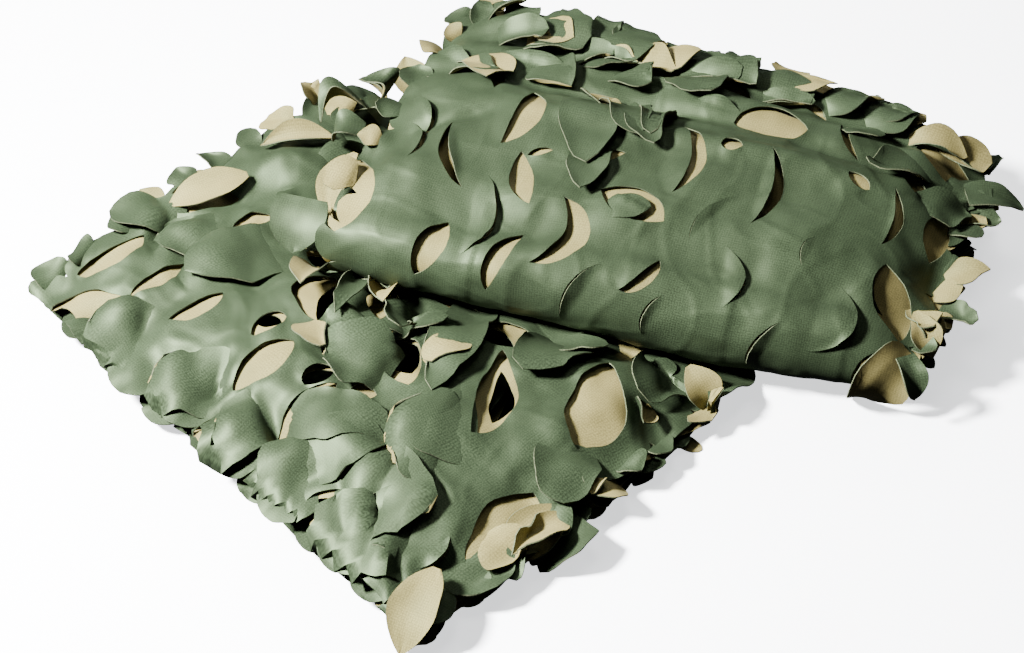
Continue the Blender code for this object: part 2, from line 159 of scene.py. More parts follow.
# leaf tongues, cut along one arc and held at the chord: mm along the run, mm across, turn, chord, bow of the
# cut, gap at its tip, degrees that it rolls up, height that its middle swells, mm that its tip slides out
# over the cloth beside it, mm that this cloth sinks; one without a gap isn't cut and is only such a dip
tongues = {
    "upper_2": [
        (78, 81, 151, 80, 18, 9, 16, 3, 0, 2), (21, 116, 176, 90, -22, 1.8, 8, 4, 1, 3),
        (170, 222, 149, 70, -9, 6, 26, 4, 0, 3), (107, 341, 176, 92, -20, 10, 14, 5, 0, 3),
        (62, 312, -158, 60, 10, 1.8, 9, 2, 1, 2), (-43, 225, -154, 69, 12, 2, 8, 2, 1, 2),
        (-46, 290, -164, 40, 8, 2, 10, 1, 1, 2), (4, 338, 168, 60, -18, 1.8, 6, 3, 1, 2),
        (-10, 425, -171, 74, -31, 1.8, 5, 4, 1, 3), (-54, 384, -157, 58, 11, 2, 8, 2, 1, 2),
        (46, 401, -175, 32, 8, 1.4, 8, 1, 1, 1), (121, 450, 178, 77, -12, 9, 16, 3, 0, 2),
        (219, 100, 100, 84, -15, 4, 26, 5, 3, 3), (226, 214, 82, 46, -12, 4, 28, 4, 2, 3),
        (214, 275, 95, 44, -12, 4, 30, 4, 2, 3), (212, 20, 110, 50, -14, 4, 25, 4, 2, 3),
        (120, 22, 150, 62, -16, 3, 14, 4, 1, 3), (84, 30, 160, 56, -14, 2, 10, 3, 1, 2),
    ],
    "lower_5": [
        (124, 111, -8, 84, -27, 0, 18, 10, 7, 10), (120, 70, 11, 70, -28, 0, 22, 10, 6, 10),
        (24, 100, 7, 54, -22, 0, 18, 9, 3, 8), (24, 186, 1, 54, -21, 0, 22, 9, 6, 8),
        (46, 217, 99, 40, 10, 0, 18, 3, 3, 8), (24, 274, 9, 48, -13, 0, 25, 8, 4, 8),
        (28, 324, 30, 46, -14, 0, 25, 8, 5, 8), (214, 112, 117, 70, 22, 4, 29, 9, 3, 8),
        (131, 275, -19, 50, -11, 0, 36, 7, 3, 8), (116, 396, -32, 86, -25, 0, 14, 9, 8, 10),
        (62, 420, 176, 80, -34, 0, 11, 9, 6, 6), (58, 480, -11, 30, 6, 3, 18, 3, 2, 4),
        (30, 445, 90, 30, 8, 3, 25, 3, 2, 4),
    ],
}

# tongues cut at a fold, which stand straight on past it: the same columns, up to the degrees
foldTongues = {
    "lower_5": [
        (3, 80, 88, 52, 22, 5, -20), (4, 150, 95, 56, 26, 6, -35), (3, 214, 86, 50, 20, 5, -15),
        (5, 282, 92, 58, 26, 6, -40), (3, 352, 96, 60, 28, 7, -25), (4, 424, 88, 56, 24, 6, -50),
    ],
    "lower_3": [
        (3, 56, 92, 50, 24, 5, 10), (4, 118, 88, 52, 26, 5, -10), (3, 184, 94, 56, 28, 6, 0),
        (5, 246, 86, 50, 24, 6, 15), (3, 314, 92, 60, 28, 6, -10), (4, 388, 90, 54, 26, 6, 10),
        (4, 452, 90, 50, 22, 6, 0),
    ],
    "upper_3": [
        (3, 60, 90, 56, 24, 5, 20), (4, 132, 94, 60, 28, 5, -10), (3, 206, 86, 58, 26, 6, 10),
        (5, 280, 92, 60, 28, 6, -15), (3, 356, 96, 60, 26, 7, 20), (4, 434, 88, 56, 24, 6, -10),
    ],
    "upper_5": [
        (3, 90, 90, 56, 26, 5, 5), (4, 180, 94, 60, 26, 5, -10), (3, 300, 86, 58, 26, 6, 5),
        (5, 410, 92, 56, 24, 6, -10),
    ],
}

# dark places of the top runs: mm along, mm across, turn, chord, bow, other bow, layers under it that are open
deep = {
    "upper_2": [
        (42, 464, 162, 54, 8, 20, 2), (10, 6, 172, 50, 20, 8, 1), (176, 178, 126, 40, -10, 4, 2),
        (246, 186, 84, 30, -6, 4, 1), (224, 92, 96, 40, -6, 4, 1),
    ],
    "lower_5": [
        (160, 309, 100, 52, 12, -22, 3), (240, 343, 78, 50, -14, 14, 3), (195, 397, 145, 62, 4, -17, 4),
        (156, 226, 137, 66, 8, -24, 3), (109, 207, 69, 28, -8, 5, 2), (97, 288, 3, 30, -12, 9, 2),
        (10, 388, 10, 44, -13, -2, 1), (63, 374, 13, 51, -2, 17, 3), (205, 160, 54, 34, -3, 15, 3),
        (170, 94, 22, 26, -13, 1, 2), (69, 80, 20, 42, -4, 5, 1),
    ],
}

# the regular repeat of leaves on the runs inside
leafRepeat = {
    "chord": 70.0,
    "chordShare": (0.8, 1.05),
    "bow": 13.0,
    "bowShare": (0.7, 1.1),
    "otherBow": 0.8,
    "pitch": (100.0, 118.0),  # along the strip and across it
    "pitchShare": (0.86, 1.0),
    "turns": (20.0, -50.0, 75.0, -15.0, 50.0),
    "swing": 12.0,
    "ends": (34.0, 16.0),  # left free at the strip's two edges
    "apart": 70.0,  # least distance to any other leaf
}

# each piece of the sheet: from a run's start plus mm, to a run's start plus mm, and the size of its cells
pieces = [
    ("lowerFolds", "lower_1", 0.0, "lower_4", 275.0, 6.0),
    ("lowerCover", "lower_4", 275.0, "bridge", 70.0, 3.0),
    ("bridgeAndBase", "bridge", 70.0, "upper_1", 225.0, 6.5),
    ("upperCover", "upper_1", 225.0, "upper_3", 60.0, 3.0),
    ("upperFolds", "upper_3", 60.0, "end", 0.0, 5.5),
]
# stretches that lie inside the pile, where the regular repeat is cut
hiddenRuns = (("lower_1", "lower_3"), ("lower_3", "lower_4"), ("bridge", "upper_1"), ("upper_5", "end"))
hiddenMargin = 10.0


def mix(a, b, t):
    return a + (b - a) * t


def smooth(t):
    t = np.clip(t, 0.0, 1.0)
    return t * t * (3.0 - 2.0 * t)


def noiseAt(x, y, z):
    x, y, z = np.broadcast_arrays(x, y, z)
    values = [noise.noise(place) for place in zip(x.ravel(), y.ravel(), z.ravel())]
    return np.array(values).reshape(x.shape)


def turnOf(degrees):
    return math.cos(math.radians(degrees)), math.sin(math.radians(degrees))


def outward(name):
    (ax, ay), (bx, by) = foldLines[name]
    length = math.hypot(bx - ax, by - ay)
    side = 1.0 if name.endswith("back") else -1.0
    return -(by - ay) / length * side, (bx - ax) / length * side


def frontBow(u):
    return pile["frontBow"] * np.exp(-((u - pile["bowPlace"]) / pile["bowReach"]) ** 2)


def onLine(name, u, past):
    (ax, ay), (bx, by) = foldLines[name]
    nx, ny = outward(name)
    past = past + pile["foldWave"] * noiseAt(u * pile["width"] / pile["waveLength"], past, ax)
    if name == "upper_front":
        past = past + frontBow(u)
    return mix(ax, bx, u) + nx * past, mix(ay, by, u) + ny * past


def tableHeight(table, f, u):  # f is the share of the depth from the front line, u the share along that line
    rows = np.array(table)
    f = np.clip(f, rows[0, 0], rows[-1, 0])
    u = np.clip(u, 0.0, 1.0)
    i = np.clip(np.searchsorted(rows[:, 0], f, side="left") - 1, 0, len(rows) - 2)
    t = smooth((f - rows[i, 0]) / (rows[i + 1, 0] - rows[i, 0]))
    left, middle, right = (mix(rows[i, k], rows[i + 1, k], t) for k in (1, 2, 3))
    return np.where(u < 0.5, mix(left, middle, smooth(u * 2.0)), mix(middle, right, smooth(u * 2.0 - 1.0)))


def lowerShares(x, y):
    (ax, ay), (bx, by) = foldLines["lower_front"]
    cx, cy = foldLines["lower_back"][0]
    ux, uy, fx, fy = bx - ax, by - ay, cx - ax, cy - ay
    det = ux * fy - uy * fx
    px, py = x - ax, y - ay
    return (ux * py - uy * px) / det, (px * fy - py * fx) / det


def swell(x, y):
    return pile["puff"] * noiseAt(x / pile["puffLength"], y / pile["puffLength"], pile["puffSlice"])


def pressed(x, y):  # how far the upper bundle's weight has pushed the lower one's top down
    (ax, ay), (bx, by) = foldLines["upper_front"]
    nx, ny = outward("upper_front")
    u = ((x - ax) * (bx - ax) + (y - ay) * (by - ay)) / ((bx - ax) ** 2 + (by - ay) ** 2)
    ahead = (x - ax) * nx + (y - ay) * ny - frontBow(u)
    return pile["press"] * smooth(1.0 - ahead / pile["pressReach"]) * smooth(1.0 + u / pile["pressSide"])


def lowerHeight(x, y):
    f, u = lowerShares(x, y)
    return tableHeight(lowerTop, f, u) + swell(x, y) + moundAt("lower", f, u) - pressed(x, y)


def restHeight(x, y):  # of what lies under the upper bundle, with the gap
    f, _ = lowerShares(x, y)
    (ax, ay), (cx, cy) = foldLines["lower_front"][0], foldLines["lower_back"][0]
    past = np.maximum(0.0, (f - 1.0) * math.hypot(cx - ax, cy - ay))
    return mix(lowerHeight(x, y), pile["table"], smooth(past / pile["ramp"])) + pile["gap"]


# soft mounds and troughs of each bundle's top: mm along the top run, mm across, turn, length, width, height
mounds = {
    "lower": [
        (122, 101, -5, 60, 50, 10), (128, 160, 125, 100, 44, -9), (130, 61, 1, 44, 34, 7),
        (28, 98, -7, 44, 40, 9), (38, 118, 115, 30, 18, -7), (19, 187, 124, 66, 26, 10),
        (44, 212, 127, 40, 16, -6), (25, 272, 13, 44, 34, 9), (44, 292, 130, 44, 18, -10),
        (25, 322, 35, 50, 34, 9), (100, 250, 20, 60, 40, 5), (138, 279, -22, 44, 34, 5),
        (198, 268, 85, 24, 24, 8), (187, 288, 130, 40, 20, -7), (205, 306, -5, 30, 22, 8),
        (188, 352, 130, 80, 30, 10), (172, 334, 124, 44, 18, -7), (71, 345, 54, 80, 40, 8),
        (90, 372, 54, 60, 24, -8), (118, 398, 83, 60, 50, 9), (236, 405, 72, 50, 36, 7),
        (283, 392, 48, 70, 40, -6), (36, 408, 123, 36, 16, 9), (44, 420, 124, 40, 16, -7),
        (21, 463, 124, 50, 16, 7), (26, 478, 127, 34, 14, -6), (64, 448, 40, 60, 34, 5),
        (225, 120, 20, 70, 50, 9), (195, 180, 60, 60, 26, -8), (90, 30, 30, 60, 24, -5),
        (200, 60, 30, 90, 30, -7), (230, 40, 30, 60, 30, 6), (200, 470, 100, 60, 30, 6),
    ],
    "upper": [
        (60, 60, 20, 120, 60, 3), (150, 230, 90, 260, 26, 5), (196, 200, 90, 330, 24, -8),
        (240, 220, 90, 330, 30, 4), (95, 300, 20, 90, 60, 3), (70, 400, 30, 120, 70, 4),
        (150, 380, 90, 160, 30, 4), (190, 400, 85, 160, 24, -6), (120, 60, 55, 110, 18, -4),
        (30, 200, 10, 60, 60, -3), (80, 150, 60, 60, 30, -3),
    ],
}

# the dip of the cloth beside a tongue, in mm past its cut edge: how far it reaches, and where it is deepest
dip = {"reach": 24.0, "place": 4.0, "lead": 1.5}

# where the second layer is drawn up: mm past an open leaf's ends, and the shares of that reach where it
# starts and over which it fades
drawnUp = {"past": 14.0, "outer": 1.35, "fade": 0.55}


straight = 0.05  # mm of bow under which an arc is its chord


def arcHeight(x, chord, bow):  # height over its chord of an arc, at x from the chord's middle
    if abs(bow) < straight:
        return np.zeros_like(np.asarray(x, float))
    radius = (chord * chord / 4 + bow * bow) / (2 * abs(bow))
    inner = np.sqrt(np.maximum(radius * radius - np.square(x), 0.0))
    return math.copysign(1.0, bow) * np.maximum(inner - radius + abs(bow), 0.0)


def onChord(x, chord):
    return np.clip(x, -chord / 2, chord / 2)


def inChord(x, chord):  # 1 at the chord's middle, 0 past its ends
    return np.clip(1.0 - (2.0 * x / chord) ** 2, 0.0, 1.0)


def localOf(row, start, s, w):  # coordinates over a cut's chord: along it from its middle, and square to it
    along, across, turn = row[:3]
    c, sn = turnOf(turn)
    ds, dw = s - start - along, w - across
    return ds * c + dw * sn, dw * c - ds * sn


def moundAt(bundle, f, u):
    run = topRuns[bundle]
    length = runNamed[run][7]
    rise = np.zeros_like(f)
    for along, across, turn, long, wide, height in mounds[bundle]:
        c, s = turnOf(turn)
        da, dw = f * length - along, u * pile["width"] - across
        x, y = da * c + dw * s, dw * c - da * s
        rise += height * np.exp(-(x / (long * 0.5)) ** 2 - (y / (wide * 0.5)) ** 2)
    return rise * pile["moundScale"][bundle] - sunkAt(run, f * length, u * pile["width"])


def sunkAt(run, along, across):  # how far the cloth beside the tongues dips, in all layers
    sunk = np.zeros_like(along)
    for row in tongues.get(run, []):
        reach = row[3] * 0.5 + abs(row[4]) + dip["reach"]
        close = np.where(np.hypot(along - row[0], across - row[1]) < reach)[0]
        if len(close):
            sunk[close] += sinkBeside(row, along[close], across[close])
    return sunk


def sinkBeside(row, along, across):  # the dip beside one tongue, deepest just past its cut edge
    chord, bow, depth = row[3], row[4], row[9]
    x, y = localOf(row, 0.0, along, across)
    arc = np.abs(arcHeight(onChord(x, chord), chord, bow))
    away = y * math.copysign(1.0, bow) - arc
    fade = smooth(1.0 - np.abs(away - dip["place"]) / dip["reach"])
    return depth * inChord(x, chord) * fade * smooth(dip["lead"] + away / dip["place"])


def openMask(bundle, f, u):  # how far the second layer is drawn up under the top layer's open leaves, 0 to 1
    length = runNamed[topRuns[bundle]][7]
    mask = np.zeros_like(f)
    for along, across, _, chord, _, _, _, near in leaves[topRuns[bundle]]:
        if near:
            far = np.hypot((f - along / length) * length, u * pile["width"] - across)
            share = far / (chord * 0.5 + drawnUp["past"])
            mask = np.maximum(mask, smooth((drawnUp["outer"] - share) / drawnUp["fade"]))
    return mask


def drapeAt(bundle, u):  # share of its height that a bundle keeps, less near the cut edges, which hang down
    left, right = pile["drape"][bundle]
    reach, past = pile["drapeReach"] / pile["width"], pile["drapePast"]
    return 1.0 - left * smooth(1.0 - (u + past) / reach) - right * smooth(1.0 - (1.0 + past - u) / reach)


def heightAt(bundle, level, f, u, x, y):
    if bundle == "bridge":
        return restHeight(x, y) - pile["gap"]
    if bundle == "lower":
        low, top = pile["table"], lowerHeight(x, y)
    else:
        low = restHeight(x, y)
        top = tableHeight(upperTop, f, u) + swell(x, y) + moundAt("upper", f, u)
        top = np.maximum(top, low + pile["leastUpper"])
    z = mix(low, top, level)
    if level == secondLevels[bundle]:
        z = mix(z, top - pile["nearTop"], openMask(bundle, f, u))
    return mix(low, z, drapeAt(bundle, u))


def wander(x, y, level):
    sx, sy = x / pile["waveLength"], y / pile["waveLength"]
    step, other = pile["waveSlices"]
    return tuple(pile["planWave"] * noiseAt(sx, sy, level * step + place) for place in (0.0, other))


def runPoint(run, t, u):
    _, bundle, level, first, pastFirst, last, pastLast, _ = run
    ax, ay = onLine(first, u, pastFirst)
    bx, by = onLine(last, u, pastLast)
    x, y = mix(ax, bx, t), mix(ay, by, t)
    f = t if last.endswith("back") else 1.0 - t
    z = heightAt(bundle, level, f, u, x, y)
    dx, dy = wander(x, y, level)
    return np.stack([x + dx, y + dy, z], -1)


def bendPoint(run, following, t, u):
    a = runPoint(run, np.ones_like(u), u)
    b = runPoint(following, np.zeros_like(u), u)
    half = np.abs(b[:, 2] - a[:, 2]) / 2.0
    angle = math.pi * t
    along = a + (b - a) * (0.5 - 0.5 * np.cos(angle))[:, None]
    ox, oy = outward(run[5])
    stand = half * bulges.get(run[0], 1.0) * np.sin(angle)
    z = (a[:, 2] + b[:, 2]) / 2.0 + (a[:, 2] - b[:, 2]) / 2.0 * np.cos(angle)
    return np.stack([along[:, 0] + ox * stand, along[:, 1] + oy * stand, z], -1)


def layOut():  # the strip's flat layout: start, length, kind and run of each stretch
    rows, start = [], 0.0
    half = np.array([0.5])
    for index, run in enumerate(runs):
        rows.append((start, run[7], "run", index))
        start += run[7]
        if index + 1 < len(runs) and runs[index + 1][0] != "bridge":
            a = runPoint(run, np.ones(1), half)
            b = runPoint(runs[index + 1], np.zeros(1), half)
            length = math.pi * float(np.linalg.norm(b - a)) / 2.0
            rows.append((start, length, "bend", index))
            start += length
    return rows


stations = layOut()
stripLength = stations[-1][0] + stations[-1][1]
runStart = {runs[i][0]: start for start, _, kind, i in stations if kind == "run"}
runStart["end"] = stripLength

# the crumple that all layers share, in mm: less in the upper bundle, and none on the table
crumple = {
    "lower": 6.0,
    "upper": 2.2,
    "upperFrom": 120.0,  # mm past the bridge's start from which the cloth counts as the upper bundle's
    "length": 46.0,
    "slices": (3.0, 33.0, 63.0),
    "fine": (0.35, 2.3),  # share of the amount, and how much finer
    "fullHeight": 25.0,  # over the table
    "edge": 12.0,  # curl of the cut edges
    "edgeLength": 34.0,
    "edgeSlice": (0.4, 90.0),  # how much slower it changes with height, and its place in the noise
}
edgeReach = 46.0  # how far in from the strip's cut edges they curl
normalStep = 1.5


def rumple(place, upper, nearEdge):
    x, y, z = place.T / crumple["length"]
    offTable = smooth(place[:, 2] / crumple["fullHeight"])
    amount = np.where(upper, crumple["upper"], crumple["lower"]) * offTable
    share, finer = crumple["fine"]
    drift = [amount * noiseAt(x, y, z + k) + amount * share * noiseAt(x * finer, y * finer, z * finer + k)
             for k in crumple["slices"]]
    x, y, z = place.T / crumple["edgeLength"]
    slower, past = crumple["edgeSlice"]
    drift[2] += crumple["edge"] * nearEdge * noiseAt(x, y, z * slower + past) * offTable
    return place + np.stack(drift, -1)


def sheetPoint(s, w):  # where flat points lie in the folded pile: s along the strip, w along the fold line
    s, w = np.asarray(s, float), np.asarray(w, float)
    u = w / pile["width"]
    out = np.zeros((len(s), 3))
    starts = np.array([row[0] for row in stations])
    which = np.clip(np.searchsorted(starts, s, side="right") - 1, 0, len(stations) - 1)
    for k in np.unique(which):
        start, length, kind, index = stations[k]
        chosen = which == k
        t = (s[chosen] - start) / length
        if kind == "run":
            out[chosen] = runPoint(runs[index], t, u[chosen])
        else:
            out[chosen] = bendPoint(runs[index], runs[index + 1], t, u[chosen])
    nearEdge = smooth(1.0 - np.minimum(w, pile["width"] - w) / edgeReach)
    return rumple(out, s > runStart["bridge"] + crumple["upperFrom"], nearEdge)


def sheetNormal(s, w):  # direction out of the green face
    along = sheetPoint(s + normalStep, w) - sheetPoint(s - normalStep, w)
    across = sheetPoint(s, w + normalStep) - sheetPoint(s, w - normalStep)
    n = np.cross(across, along)
    return n / np.linalg.norm(n, axis=1)[:, None]


# how a cut line runs: share of even spacing on its chord, and length and second place of its raggedness
cutLine = {"even": 0.65, "shake": 5.0, "other": 7.0}


def leafRing(row, start, cell, rough):  # outline of an opening between two arcs on one chord, in sheet mm
    along, across, turn, chord, bowA, bowB = row[:6]
    steps = max(6, int(round(chord / cell)))
    angle = np.linspace(0.0, math.pi, steps + 1)
    x = mix(-chord / 2 * np.cos(angle), np.linspace(-chord / 2, chord / 2, steps + 1), cutLine["even"])
    arcs = []
    for bow, place in ((bowA, along), (bowB, along + cutLine["other"])):
        shake = noiseAt(x / cutLine["shake"], place, across) * rough * np.sin(angle)
        arcs.append(np.stack([x, arcHeight(x, chord, bow) + shake], 1))
    ring = np.concatenate([arcs[0], arcs[1][-2:0:-1]])
    c, s = turnOf(turn)
    x, y = ring.T
    return np.stack([start + along + x * c - y * s, across + x * s + y * c], 1)


def insideRing(points, ring):
    low, high = ring.min(0), ring.max(0)
    hit = np.zeros(len(points), bool)
    near = np.where(np.all((points >= low) & (points <= high), axis=1))[0]
    x, y = points[near, 0], points[near, 1]
    found = np.zeros(len(near), bool)
    for (ax, ay), (bx, by) in zip(ring, np.roll(ring, -1, axis=0)):
        if ay != by:
            found ^= ((ay > y) != (by > y)) & (x < (bx - ax) * (y - ay) / (by - ay) + ax)
    hit[near] = found
    return hit


def deepRings(cell):  # openings of the layers under the top ones, below the places where the top looks dark
    rings = {}
    for name, rows in deep.items():
        layers = ("upper_3", "upper_4", "upper_5") if name == "upper_2" else ("lower_4", "lower_3", "lower_2")
        for depth, layer in enumerate(layers):
            run = runNamed[layer]
            rings.setdefault(layer, [])
            for row in rows:
                if row[6] <= depth:
                    continue
                ring = leafRing(row, 0.0, cell, pattern["rough"]["deep"])
                share = ring[:, 0] / runNamed[name][7]
                if run[5].endswith("front"):
                    share = 1.0 - share
                ring[:, 0] = runStart[layer] + share * run[7]
                rings[layer].append(ring)
    return rings


# the strip's side edges: round leaf ends, how wide they are, how far they stand out, how deep the notches are
edgeLobes = {"ends": (30.0, 60.0), "wide": (46.0, 88.0), "out": (3.0, 9.0), "notch": (9.0, 17.0),
             "round": 2.4, "seeds": (5, 8)}


def edgeProfile(seed):
    generator = np.random.default_rng(seed)
    before, after = edgeLobes["ends"]
    marks, s = [], -before
    while s < stripLength + after:
        wide, out, notch = (generator.uniform(*edgeLobes[key]) for key in ("wide", "out", "notch"))
        marks.append((s, s + wide, out, notch))
        s += wide
    return marks


edgeMarks = [edgeProfile(seed) for seed in edgeLobes["seeds"]]


def edgeWave(s, side):  # how far the strip's cut edge stands in from its full width
    s = np.asarray(s, float)
    inset = np.zeros_like(s)
    for first, last, out, notch in edgeMarks[side]:
        inLobe = (s >= first) & (s < last)
        t = (s[inLobe] - first) / (last - first) * 2.0 - 1.0
        lobe = np.sqrt(np.maximum(1.0 - np.abs(t) ** edgeLobes["round"], 0.0))
        inset[inLobe] = notch - (notch + out) * lobe
    return inset


# how the cloth stands off its run's plain shape, in mm
relief = {
    "buckle": (0.5, 18.0, 9.0),  # height, length and place in the noise
    "crease": 0.5,
    "creaseSize": ((78.0, 44.0), (40.0, 84.0)),
    "creaseSlices": (17.0, 26.0),
    "creaseWidth": 0.15,
    "curl": 3.5,  # of the cut edges, over its length and power
    "curlLength": 36.0,
    "curlPower": 1.5,
    "curlSlices": (2.0, 11.0),  # left edge, right edge
    "lipNear": 34.0,  # how far past a leaf's ends its lip is worked out
    "lipReach": 26.0,
    "lipOther": 0.35,  # share of the lift on the side of the second arc
}


def reliefAt(s, w):  # along the green side's normal
    height, length, place = relief["buckle"]
    rise = height * noiseAt(s / length, w / length, place)
    for (along, across), place in zip(relief["creaseSize"], relief["creaseSlices"]):
        fromCrease = np.abs(noiseAt(s / along, w / across, place)) / relief["creaseWidth"]
        rise += relief["crease"] * smooth(1.0 - fromCrease) ** 2
    fromEdge = np.minimum(w - edgeWave(s, 0), pile["width"] - w - edgeWave(s, 1))
    curl = smooth(1.0 - fromEdge / edgeReach) ** relief["curlPower"]
    side = np.where(w < pile["width"] / 2, *relief["curlSlices"])
    rise += curl * relief["curl"] * noiseAt(s / relief["curlLength"], side, 1.0)
    for name, rows in leaves.items():
        start = runStart[name]
        for row in rows:
            along, across, _, chord, bowA, bowB, lip = row[:7]
            close = np.where(np.hypot(s - start - along, w - across) < chord * 0.5 + relief["lipNear"])[0]
            if not len(close):
                continue
            x, y = localOf(row, start, s[close], w[close])
            top = arcHeight(onChord(x, chord), chord, max(bowA, bowB))
            bottom = arcHeight(onChord(x, chord), chord, min(bowA, bowB))
            away = np.maximum(np.maximum(y - top, bottom - y), 0.0)
            sided = np.where(y > (top + bottom) / 2.0, 1.0, relief["lipOther"])
            rise[close] += lip * sided * inChord(x, chord) * smooth(1.0 - away / relief["lipReach"])
    return rise


def shapeAt(s, w):
    return sheetPoint(s, w) + sheetNormal(s, w) * reliefAt(s, w)[:, None]


tongueSkew = 0.3  # how unevenly a tongue rolls up along its chord
tongueDome = 0.78  # share of a half wave from its chord to its tip


def rowNorm(a):
    return np.linalg.norm(a, axis=1)[:, None]


def rowDot(a, b):
    return np.sum(a * b, axis=1)


def rollTongue(row, start, s, w, free):  # a tongue's points keep its chord and roll away from it, up or down
    along, across, turn, chord, bow, _, degrees, dome, push, _ = row
    side = math.copysign(1.0, bow)
    c, sn = turnOf(turn)
    x, y = localOf(row, start, s, w)
    hs, hw = start + along + x * c, across + x * sn
    hinge, base = shapeAt(hs, hw), shapeAt(s, w)
    if not free:
        base = base + sheetNormal(s, w) * sinkBeside(row, s - start, w)[:, None]
    up = sheetNormal(hs, hw)
    chordLine = shapeAt(hs + c, hw + sn) - shapeAt(hs - c, hw - sn)
    chordLine /= rowNorm(chordLine)
    out = np.cross(up, chordLine)
    out /= rowNorm(out)
    probe = shapeAt(hs - sn * side, hw + c * side) - hinge
    out *= np.sign(rowDot(probe, out))[:, None]
    up = np.cross(out, chordLine)
    up *= np.sign(rowDot(up, sheetNormal(hs, hw)))[:, None]
    a, b, k = (rowDot(base - hinge, axis) for axis in (out, up, chordLine))
    far = np.abs(y)
    share = far / abs(bow)
    ends = np.cos(math.pi * np.clip(x / chord, -0.5, 0.5))
    bend = np.radians(degrees) * share * (1.0 + tongueSkew * x / chord)
    length = (far if free else np.hypot(a, b)) * np.sinc(bend / 2.0 / math.pi)
    angle = bend / 2.0 + (0.0 if free else np.arctan2(b, a))
    if free:
        k = x * 0.0
    ahead = length * np.cos(angle) + push * ends * share ** 2
    above = length * np.sin(angle) + dome * ends * np.sin(tongueDome * math.pi * share)
    return hinge + k[:, None] * chordLine + ahead[:, None] * out + above[:, None] * up


